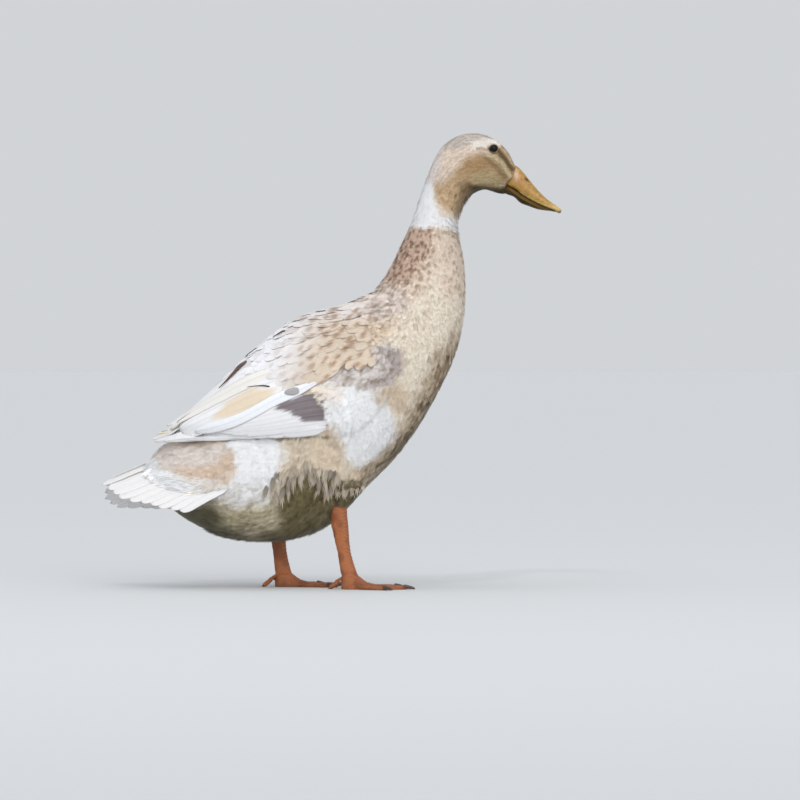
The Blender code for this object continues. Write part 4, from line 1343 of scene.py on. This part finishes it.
def eased(line):
    # a line of places or normals with its kinks taken out, the ends kept
    for _ in range(bigFeather["eased"]):
        line[1:-1] = (line[:-2] + 2 * line[1:-1] + line[2:]) / 4
    return line


def bigFeathers(name, plans, side):
    template = bigTemplate()
    shape = template[0]
    tree = wingTrees[side]

    def cast(point, normal):
        found = castOn(tree, point + normal * 14, -normal, 28)
        return point if found is None else found[0]
    allCo, allTint = [], []
    for index, (stations, width, height, kind, tipKind, station) in enumerate(plans):
        line = curveThrough(stations, bigFeather["stations"])
        found = [station(u, v, side) for u, v in line]
        centre, normal = (eased(np.array([h[k] for h in found])) for k in (0, 1))
        co, a, b = featherOn(shape, centre, unitRows(normal), width, height, tipKind, cast)
        allCo.append(co)
        allTint.append(wingTint(kind, co, a, b, index))
    obj = laidVanes(name, template, allCo, allTint, bigFeather["thickness"])
    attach(obj, "root")


scapulars = {
    "rowStep": 8.0, "lineStep": 6.4, "slant": 34, "jitter": 1.3, "ridge": 6.0, "seed": 54,
    "rows": (-18, 26), "lines": (-18, 30), "farX": 110, "farDown": 130,      # more than the area holds
    "length": 27.0, "width": 12.0, "turn": 8.0, "lift": (0.8, 1.7), "rearLift": 1.3, "bulge": 0.06,
    "soft": 0.75, "cell": np.array([11.5, 9.5]), "dropLong": 5.2, "dropShort": 2.4,
    "area": [(-100, 300), (44, 300), (52, 262), (46, 243), (34, 240), (0, 224), (-20, 211), (-60, 208),
             (-80, 216), (-100, 232)],
}


def field(plan, side):
    # roots of one field of vanes on a slanted staggered lattice round the body
    rng = np.random.default_rng(plan["seed"])
    c, s = math.cos(math.radians(plan["slant"])), math.sin(math.radians(plan["slant"]))
    rows = []
    for i in range(*plan["rows"]):
        for j in range(*plan["lines"]):
            u = plan["rowStep"] * (i + 0.5 * (j % 2)) + rng.normal(0, plan["jitter"])
            v = plan["lineStep"] * j + rng.normal(0, plan["jitter"])
            x, down = -c * u + s * v, s * u + c * v
            if down < plan["ridge"] or down > plan["farDown"] or abs(x) > plan["farX"]:
                continue
            place, normal = wrapStation(x, down, side)
            rows.append((*place, *normal))
    if side > 0:
        # one row right on the ridge covers both sides' inner edges
        for x in np.arange(-100, 46, plan["ridge"]):
            place, normal = wrapStation(x, 0.3, side)
            rows.append((place[0], 0.0, place[2], normal[0], 0.0, normal[2]))
    rows = np.array(rows)
    keep = inside(rows[:, 0], rows[:, 2], plan["area"], 0.01) > 0.5
    return rows[keep]


fieldVane = vaneTemplate(6, 9)


def vaneField(name, plan, side, paint):
    rows = field(plan, side)
    rng = np.random.default_rng(plan["seed"])
    place, normal = rows[:, :3], rows[:, 3:]
    count = len(place)
    ahead = swung(flow(place, normal), normal, plan["turn"], rng)
    size = plan["length"] * rng.uniform(0.9, 1.12, count)
    broad = plan["width"] * rng.uniform(0.9, 1.1, count)
    tip, tipNormal = np.empty_like(place), np.empty_like(place)
    target = place + ahead * size[:, None]
    for i in range(count):
        a = nearestOn(wingTrees[side], target[i])
        b = nearestOn(outerTree, target[i])
        tip[i], tipNormal[i] = a if np.dot(a[0] - b[0], normal[i]) > 0 else b
    rear = smoothstep(-20, -60, tip[:, 0]) * plan["rearLift"]
    tip = tip + tipNormal * (plan["lift"][1] * rng.uniform(0.7, 1.2, count) + rear)[:, None]
    root = place + normal * (plan["lift"][0] - 1.2)
    stretched = np.linalg.norm(tip - root, axis=1) > 1.25 * size
    shape = fieldVane[0]
    co, blade, t = bent(shape, root, tip, normal, size * plan["bulge"], broad, 0.5, deep=0.30)
    tint = paint(co.reshape(-1, 3), plan).reshape(co.shape)
    web = wobble(np.stack([shape[:, 0] * 12.0, shape[:, 1] * 4.0, shape[:, 0] * 0], -1)[None]
                 + rng.uniform(0, 99, (count, 1, 1)), 1.0, 3)
    edge = smoothstep(0.7, 1.0, np.abs(shape[:, 0]) * 2) * 0.05
    tint = tint * (1 + rng.normal(0, 0.02, (count, 1, 1))) * (0.95 + 0.1 * web[..., None])
    tint = tint * (1 + edge[None, :, None])
    body = normal[:, None] * (1 - t) + tipNormal[:, None] * t
    normals = unitRows(blade * (1 - plan["soft"]) + body * plan["soft"])
    co, tint, normals, bake = (v[~stretched] for v in (co, tint, normals, unwrapPlaces(place)))
    obj = joinedMesh(name, fieldVane, metres(co), np.clip(tint, 0, whitest), bake, normals, vaneMaterial)
    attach(obj, "root")
    print(f"{name}: {len(co)} feathers")


def between(low, high, share):
    return mix(np.tile(low, (len(share), 1)), np.tile(high, (len(share), 1)), share)


def scapularEdge(p):
    # fawn in front, golden low down, white to the rear
    rear = smoothstep(6, -62, p[:, 0] + 0.35 * (255 - p[:, 2]))
    c = between(linear(200, 184, 166), linear(226, 226, 229), rear)
    golden = smoothstep(250, 226, p[:, 2]) * smoothstep(-36, -8, p[:, 0])
    top = smoothstep(262, 276, p[:, 2])
    return mix(mix(c, linear(212, 196, 177), 0.6 * golden), linear(218, 214, 213), 0.7 * top)


def scapularPaint(p, plan):
    # drops of brown on the pale feathers, golden in front and low down, fainter and greyer to the rear
    rear = smoothstep(10, -60, p[:, 0])
    golden = smoothstep(250, 226, p[:, 2]) * smoothstep(-40, -10, p[:, 0])
    drop = mix(between(linear(150, 120, 97), linear(186, 172, 164), rear), linear(164, 130, 97), 0.6 * golden)
    mark = spots(p, plan["cell"], plan["dropLong"], plan["dropShort"], 0.95, 7)
    return mix(scapularEdge(p), drop, mark * (0.85 - 0.5 * smoothstep(0, -75, p[:, 0])))


for label, side in (("right", -1.0), ("left", 1.0)):
    plans = [(*row, sideStation) for row in wingPlan] + [(*row, wrapStation) for row in upperPlan] \
        + [(*row, sideStation) for row in slits]
    bigFeathers("flight_feathers_" + label, plans, side)
    vaneField("scapulars_" + label, scapulars, side, scapularPaint)
print("wings laid")
# a shallow roof of feathers, the middle pair uppermost
tailFan = [
    # from the near edge over the ridge to the far edge: root and tip
    (-100, -49, 107, -151.5, -57, 79.5), (-108, -38, 114, -174, -46, 83.5), (-114, -26, 122, -198, -33, 87.5),
    (-122, -13, 133, -222, -17, 95.5), (-128, 0, 143, -228, 0, 103), (-122, 13, 133, -229, 17, 91.5),
    (-114, 26, 122, -220, 33, 81.5), (-108, 38, 114, -194, 46, 79.5), (-100, 49, 107, -160, 57, 79.5),
]
tailSettings = {
    "feathers": 20, "width": 17.0, "thickness": 0.0003, "step": 0.32, "sunk": 1.5, "droop": 1.5,
    "uneven": 0.012, "stations": 21, "seed": 61,
}
fanSteps = 20                        # steps between one row of the fan and the next


def tailTint(p, a, b, index):
    streak = wobble(np.stack([a * 4.0 + index * 5.1, b * 2.0, a * 0], -1), 1.0, index + 40)
    c = np.tile(wingTones["white"] * 0.93, (len(p), 1))
    worn = 0.35 * smoothstep(0.5, 1.0, np.abs(a)) * smoothstep(0.2, 0.7, b) + 0.15 * streak
    c = mix(c, linear(222, 216, 204), worn)
    c = mix(c, linear(206, 196, 176), 0.3 * np.exp(-(a / 0.12) ** 2))
    # the far side's feathers painted a fifth lighter: painted light against the shade beneath the tail
    far = smoothstep(2, 22, p[:, 1])
    return c * (0.96 + 0.06 * streak[:, None]) * (1 + 0.2 * far[:, None])


def buildTail():
    s = tailSettings
    count = s["feathers"]
    rng = np.random.default_rng(s["seed"])
    last = (len(tailFan) - 1) * fanSteps
    dense = curveThrough(tailFan, last + 1)
    template = bigTemplate()
    allCo, allTint = [], []
    for k, place in enumerate(np.linspace(0, len(tailFan) - 1, count)):
        here = int(round(place * fanSteps))
        ahead, behind = dense[min(here + 3, last)], dense[max(here - 3, 0)]
        root, tip = dense[here, :3], dense[here, 3:].copy()
        tip += (tip - root) * rng.normal(0, s["uneven"])
        across = unitRows((ahead[3:] - behind[3:]) * 0.6 + (ahead[:3] - behind[:3]) * 0.4)
        t = np.linspace(0, 1, s["stations"])[:, None]
        centre = root + (tip - root) * t + upward * s["droop"] * np.sin(t * math.pi)
        normal = np.tile(unitRows(np.cross(across, tip - root)), (s["stations"], 1))
        normal *= np.sign(normal[:, 2:3])
        height = (count / 2 - abs(k - (count - 1) / 2)) * s["step"] - s["sunk"]
        co, a, b = featherOn(template[0], centre, normal, s["width"], height, "round", lambda spot, _: spot)
        allCo.append(co)
        allTint.append(tailTint(co, a, b, k))
    obj = laidVanes("tail_feathers", template, allCo, allTint, s["thickness"])
    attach(obj, "root")
    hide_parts("tail")


buildTail()
print("tail laid")
billSettings = {
    "nostril": (194.0, 407.6), "nostrilLong": 3.5, "nostrilHigh": 1.25, "nostrilDepth": 2.2,
    "overlap": 6.0, "closeUp": 2.4, "narrow": 0.93, "keelLift": 1.0,
    "baseSlim": 0.13, "upperMiddle": 410.0, "lowerMiddle": 399.0, "lengthen": 3.0,
}

billTones = named(
    ochre=(176, 137, 62), orange=(172, 124, 56), olive=(128, 98, 46), pale=(214, 188, 118),
    pink=(212, 182, 160), dark=(52, 38, 18), lower=(92, 69, 22), lowerDark=(50, 37, 10),
)


def roundedCopy(name, newName, levels):
    # smooth copy of a solid, with its triangles paired into quads first
    bm = mergedCopy(name)
    bmesh.ops.join_triangles(bm, faces=bm.faces, angle_face_threshold=math.radians(60),
                             angle_shape_threshold=math.radians(60))
    obj = newPiece(newName, bm)
    rounded(obj, levels)
    return applyModifiers(obj)


def nostrilPlace(p):
    # how far along and across the nostril, in its own half sizes, and whether out on the bill's side
    s = billSettings
    x, z = p[:, 0] - s["nostril"][0], p[:, 2] - s["nostril"][1]
    run, rise = (x * 0.70 - z * 0.71) / s["nostrilLong"], (x * 0.71 + z * 0.70) / s["nostrilHigh"]
    return run, rise, np.abs(p[:, 1]) > 2.5


def shapeBill(obj, upper):
    s = billSettings
    co, no = meshArrays(obj.data)
    p = bodyUnits(co)
    x, y, z = p.T
    # the base runs on into the head, under the feathers
    back = smoothstep(184, 176, x)
    p[:, 0] -= s["overlap"] * back
    slim = 1 - s["baseSlim"] * smoothstep(189, 180, x)
    middle = s["upperMiddle"] if upper else s["lowerMiddle"]
    p[:, 1] *= slim
    p[:, 2] = middle + (z - middle) * slim
    if upper:
        run, rise, onSide = nostrilPlace(p)
        pit = np.exp(-(run ** 2 + rise ** 2) ** 2 * 1.4) * onSide
        rim = np.exp(-((np.hypot(run, rise) - 1.35) / 0.35) ** 2) * onSide
        p -= no * (s["nostrilDepth"] * pit - 0.25 * rim)[:, None]
        nail = smoothstep(215, 219, x) * smoothstep(5.0, 3.0, np.abs(y)) * (no[:, 2] > 0.1)
        p += no * (0.45 * nail)[:, None]
    else:
        # the lower half fits up inside the upper, so no light shows between them
        p[:, 2] += s["closeUp"] * smoothstep(0.1, 0.7, no[:, 2]) * smoothstep(224, 214, x)
        keel = 2.6 * smoothstep(187, 179, x) + 0.7 * smoothstep(179, 187, x) * smoothstep(206, 194, x)
        p[:, 2] += s["keelLift"] * smoothstep(0.0, -0.7, no[:, 2]) * keel
        p[:, 1] *= s["narrow"]
        p[:, 0] += s["lengthen"] * smoothstep(198, 218, x)
    p += no * ((wobble(p, 2.2, 9) - 0.5) * 0.22)[:, None]
    placeVertices(obj.data, metres(p))
    return p, no


def mouthLine(x):
    return np.interp(x, [173, 179, 187, 197, 207, 217, 228], [405, 399.6, 393.6, 387.6, 382.6, 378.8, 375])


def layered(tones, ground, layers):
    # a ground colour with others laid over it, each by its share at every point
    c = tones[ground]
    for name, share in layers:
        c = mix(c, tones[name], share)
    return np.clip(c, 0, 1)


def paintBill(obj, p, no, upper):
    x, _, z = p.T
    rise = z - mouthLine(x)
    blotch = wobble(p, 7.0, 13)
    if upper:
        run, up, onSide = nostrilPlace(p)
        ground, layers = "ochre", [
            ("orange", 0.75 * smoothstep(0.35, 0.7, blotch) * smoothstep(4, 9, rise)),
            ("olive", 0.35 * smoothstep(0.5, 0.8, wobble(p, 3.0, 12))),
            ("pale", 0.8 * np.exp(-((rise - 1.7) / 1.0) ** 2) * smoothstep(182, 190, x)),
            ("pale", 0.8 * smoothstep(214, 223, x) * (no[:, 2] > 0)),
            ("dark", 0.85 * smoothstep(223, 227, x) * smoothstep(377.6, 376.2, z)),
            ("pink", 0.8 * np.exp(-(((x - 183.0) / 2.6) ** 2 + ((z - 412.5) / 6.5) ** 2))),
            # painted shade inside the nostril's pit
            ("dark", 0.95 * np.exp(-(run ** 2 + up ** 2) ** 2 * 1.8) * onSide),
            # painted shade under the upper half's edge along the mouth line
            ("dark", 0.5 * smoothstep(0.5, -0.6, rise) * smoothstep(222, 214, x)),
        ]
    else:
        ground, layers = "lower", [
            # the lower half's underside in painted shade
            ("lowerDark", 0.75 * smoothstep(-2.0, -5.0, rise) + 0.2 * blotch),
            # painted shade along the mouth line, where the lower half tucks under the upper
            ("dark", 0.85 * smoothstep(-1.2, -0.4, rise)),
            ("olive", 0.4 * np.exp(-((rise + 3.0) / 1.0) ** 2)),
        ]
    setTint(obj.data, layered(billTones, ground, layers))


def billMaterial(name, gloss):
    n = Nodes(name)
    fine = n.noise(1800.0, 5.0)
    speck = n.ramp(n.noise(650.0, 6.0, 0.7), (0.40, (0.62, 0.52, 0.42)), (0.52, (1.0, 1.0, 1.0)))
    grain = n.ramp(fine, (0.3, (0.84, 0.82, 0.78)), (0.65, (1.0, 1.0, 1.0)))
    colour = n.blendColour("MULTIPLY", 1.0, n.tint(), n.blendColour("MULTIPLY", 0.7, grain, speck))
    n.wire(n.math("MULTIPLY_ADD", fine, 0.25, 0.28), n.shader.inputs["Roughness"])
    return n.finished(colour, n.bump(n.noise(2600.0, 3.0), 0.00022, 0.5), {
        "Specular IOR Level": gloss, "Subsurface Weight": 0.12, "Subsurface Radius": (0.003, 0.0015, 0.0006),
        "Subsurface Scale": 1.0})


hornMaterial = billMaterial("bill horn", 0.5)
lowerMaterial = billMaterial("lower bill horn", 0.1)
for name, upper in (("bill_upper", True), ("bill_lower", False)):
    bill = roundedCopy(name, "mandible_" + name[5:], 3)
    p, no = shapeBill(bill, upper)
    paintBill(bill, p, no, upper)
    dress(bill, hornMaterial if upper else lowerMaterial)
    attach(bill, "root")
    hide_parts(name)
print("bill ready")

eyeSettings = {
    "centre": (160.3, 10.2, 438.7), "radius": 4.65,
    "stretch": 1.10, "tilt": -14.0, "outward": (0.10, 0.97, 0.10),
    # the lid's rings from under the face to its rolled edge: radius, height over the ball
    "rings": [(5.5, 0.25), (5.2, 0.25), (4.95, 0.25), (4.75, 0.25), (4.5, 0.25), (4.3, 0.25), (4.15, 0.22),
              (4.1, 0.1), (4.05, -0.15)],
    "sink": 5.0, "droop": 0.0625, "lidSegments": 40, "lidThickness": 0.0003,
}


# colours of the eye from the middle of its front outwards: pupil, iris, dark edge
irisRings = [(0.0, (0.004, 0.004, 0.005)), (0.46, (0.004, 0.004, 0.005)), (0.52, (0.040, 0.022, 0.012)),
             (0.80, (0.026, 0.014, 0.008)), (0.92, (0.008, 0.006, 0.005))]


def eyeMaterial():
    n = Nodes("dark eye")
    seat = n.add("UVMap", {"uv_map": "gaze"}).outputs["UV"]
    away = n.add("SeparateXYZ", Vector=seat).outputs["X"]
    ring = n.ramp(away, *irisRings)
    fibre = n.ramp(n.noise(2200.0, 3.0), (0.3, (0.6, 0.6, 0.6)), (0.7, (1, 1, 1)))
    return n.finished(n.blendColour("MULTIPLY", 1.0, ring, fibre), None,
                      {"Roughness": 0.05, "IOR": 1.36, "Specular IOR Level": 0.28})


def lidMaterial():
    n = Nodes("eyelid skin")
    tone = n.ramp(n.noise(1500.0), (0.35, linear(112, 96, 80)), (0.7, linear(158, 142, 124)))
    return n.finished(tone, n.bump(n.noise(3000.0), 0.0002, 0.6), {"Roughness": 0.5})


def buildEye(label, side, ballMaterial, skinOfLid):
    e = eyeSettings
    centre, out = (np.array(e[key]) * (1, side, 1) for key in ("centre", "outward"))
    out = unitRows(out)
    bm = bmesh.new()
    bmesh.ops.create_uvsphere(bm, u_segments=48, v_segments=32, radius=e["radius"] * unit)
    bmesh.ops.translate(bm, vec=metres(centre), verts=bm.verts)
    ball = newPiece("eyeball_" + label, bm)
    co, _ = meshArrays(ball.data)
    turn = np.arccos(np.clip(unitRows(bodyUnits(co) - centre) @ out, -1, 1)) / (math.pi / 2)
    index = np.empty(len(ball.data.loops), np.int32)
    ball.data.loops.foreach_get("vertex_index", index)
    setUv(ball.data, "gaze", np.stack([turn[index], turn[index] * 0], -1))
    dress(ball, ballMaterial)
    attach(ball, "root")
    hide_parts("eye_" + label)
    # lid: rings turned in from the face to a rolled edge round the opening
    ahead = unitRows(np.cross(upward, out)) * side
    tilt = math.radians(e["tilt"])
    across = ahead * math.cos(tilt) + upward * math.sin(tilt)
    up = unitRows(np.cross(across, out))
    bm = bmesh.new()
    loop = bmesh.ops.create_circle(bm, segments=e["lidSegments"], radius=1.0)["verts"]
    circle = [v.co.copy() for v in loop]
    edges = list(bm.edges)
    for k, (radius, over) in enumerate(e["rings"]):
        if k:
            made = bmesh.ops.extrude_edge_only(bm, edges=edges)["geom"]
            loop = [v for v in made if isinstance(v, bmesh.types.BMVert)]
            edges = [g for g in made if isinstance(g, bmesh.types.BMEdge)]
        for v, c in zip(loop, circle):
            pointed = 1 + (e["stretch"] - 1) * abs(c.x) ** 3
            droop = e["droop"] * (c.y > 0) * (1 - abs(c.x)) * (k >= 3)
            flat = across * (c.x * radius * pointed) + up * (c.y * radius * (0.98 - droop))
            wide, shell = np.linalg.norm(flat), e["radius"] + over
            height = math.sqrt(shell ** 2 - wide ** 2) if wide < shell else (shell - wide) * e["sink"]
            v.co = metres(centre + flat + out * height)
    bmesh.ops.recalc_face_normals(bm, faces=bm.faces)
    lid = newPiece("eyelid_" + label, bm)
    thickened(lid, e["lidThickness"])
    rounded(lid, 2)
    dress(lid, skinOfLid)
    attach(lid, "root")


ballMaterial, skinOfLid = eyeMaterial(), lidMaterial()
buildEye("right", -1.0, ballMaterial, skinOfLid)
buildEye("left", 1.0, ballMaterial, skinOfLid)
print("eyes ready")

legSettings = {
    "voxel": 0.0009, "smooth": 4, "scute": 3.6, "scuteHeight": 0.6, "halluxGrow": 1.3,
    "reach": 7.0, "topBand": 4.0,    # the leg's top runs on this far up into the body
    "sink": 1.5, "sinkBelow": 20.0,  # and its lower end down into the foot
    "clawRoot": 4.2, "clawGrow": 0.35,
}

legTones = named(
    orange=(176, 106, 60), deep=(128, 68, 38), pale=(206, 146, 104), grime=(112, 74, 50), claw=(96, 70, 54),
    clawTip=(58, 44, 36),
)


def legMaterial():
    n = Nodes("scaly leg skin")
    voronoi = n.add("TexVoronoi", {"feature": "DISTANCE_TO_EDGE"}, Vector=n.place(), Scale=620.0)
    cells = voronoi.outputs["Distance"]
    # painted shade in the creases between the small scales
    crease = n.ramp(cells, (0.0, (0.55, 0.50, 0.48)), (0.16, (1, 1, 1)))
    lift = n.ramp(cells, (0.0, (0, 0, 0)), (0.22, (1, 1, 1)))
    relief = n.bump(lift, 0.00035, 0.7, n.bump(n.noise(2400.0), 0.0002, 0.5))
    return n.finished(n.blendColour("MULTIPLY", 0.8, n.tint(), crease), relief, {
        "Roughness": 0.48, "Specular IOR Level": 0.45, "Subsurface Weight": 0.10,
        "Subsurface Radius": (0.003, 0.001, 0.0005), "Subsurface Scale": 1.0})


def plates(run):
    # one scute after another along the leg or toe: 1 on top of a plate, 0 in the groove
    saw = run % 1.0
    return np.minimum(saw / 0.8, (1 - saw) / 0.2)


def buildLeg(label, mat):
    s = legSettings
    whole = bmesh.new()
    for name in ("leg_" + label, "foot_" + label, "hallux_" + label):
        bm = mergedCopy(name)
        if name.startswith("hallux"):
            bm.normal_update()
            for v in bm.verts:
                v.co += v.normal * s["halluxGrow"] * unit
        if name.startswith("leg"):
            top = max(v.co.z for v in bm.verts)
            for v in bm.verts:
                if v.co.z > top - s["topBand"] * unit:
                    v.co.z += s["reach"] * unit
                if v.co.z < s["sinkBelow"] * unit:
                    v.co.z -= s["sink"] * unit
        addTo(whole, bm)
    leg = newPiece("leg_and_foot_" + label, whole)
    melted(leg, s["voxel"], s["smooth"])
    co, no = meshArrays(leg.data)
    p = bodyUnits(co)
    x, y, z = p.T
    shank = smoothstep(17, 24, z)
    front = smoothstep(0.1, 0.7, no[:, 0])
    plate = plates(z / s["scute"] + 0.15 * np.sin(y * 1.2))
    foot = ankles[label]
    reach = np.hypot(x - foot[0], y - foot[1])
    toe = (1 - shank) * smoothstep(3.4, 5.0, z) * smoothstep(0.2, 0.8, no[:, 2]) * smoothstep(9, 14, reach)
    plateToe = plates(reach / (s["scute"] * 0.9))
    rise = s["scuteHeight"] * ((plate - 0.5) * front * shank + 0.9 * (plateToe - 0.5) * toe)
    knobs = (wobble(p, 2.4, 17) - 0.5) * 0.5 * (1 - front) * shank
    free = smoothstep(0.6, 1.4, z)
    p = p + no * ((rise + knobs) * free)[:, None]
    p[:, 2] = np.maximum(p[:, 2], 0.0)
    placeVertices(leg.data, metres(p))
    web = (1 - shank) * smoothstep(3.2, 2.0, z) * smoothstep(12, 20, reach)
    setTint(leg.data, layered(legTones, "orange", [
        ("deep", 0.6 * smoothstep(0.45, 0.75, wobble(p, 8, 19))),
        # plate tops painted paler and the grooves between plates darker: painted light and shade across the
        # scutes
        ("pale", 0.35 * front * shank * plate),
        ("deep", 0.75 * (1 - plate) * front * shank + 0.6 * (1 - plateToe) * toe),
        # darker in blotches towards the ground
        ("grime", 0.55 * smoothstep(14, 2, z) * wobble(p, 5, 20)),
        ("deep", 0.35 * web),
    ]))
    dress(leg, mat)
    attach(leg, "root")
    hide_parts("leg_" + label, "foot_" + label, "hallux_" + label)


def clawMaterial():
    n = Nodes("claw horn")
    tone = n.ramp(n.noise(900.0), (0.35, legTones["clawTip"]), (0.7, legTones["claw"]))
    return n.finished(tone, n.bump(n.noise(2400.0), 0.0001, 0.5), {"Roughness": 0.35})


def seatClaw(claw, foot):
    # a little stouter, its root drawn back into the toe
    co, no = meshArrays(claw.data)
    p = bodyUnits(co)
    middle = p.mean(0)
    ahead = unitRows((middle - foot) * [1, 1, 0])
    back = smoothstep(2.0, -3.0, (p - middle) @ ahead)
    p = p + no * legSettings["clawGrow"] - ahead * (legSettings["clawRoot"] * back)[:, None]
    p[:, 2] = np.maximum(p[:, 2] + 0.5 * back, 0.0)
    placeVertices(claw.data, metres(p))


ankles = {"right": np.array([18.0, -28.0, 0.0]), "left": np.array([-49.4, 28.0, 0.0])}
legSkin, clawHorn = legMaterial(), clawMaterial()
for label in ("right", "left"):
    buildLeg(label, legSkin)
    for toe in ("inner", "middle", "outer"):
        name = f"claw_{toe}_{label}"
        claw = roundedCopy(name, f"nail_{toe}_{label}", 2)
        seatClaw(claw, ankles[label])
        dress(claw, clawHorn)
        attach(claw, "root")
        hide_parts(name)
print("legs ready")
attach(flesh, "root")
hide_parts("head", "neck", "trunk", "thigh_right", "wing_left", "wing_right")
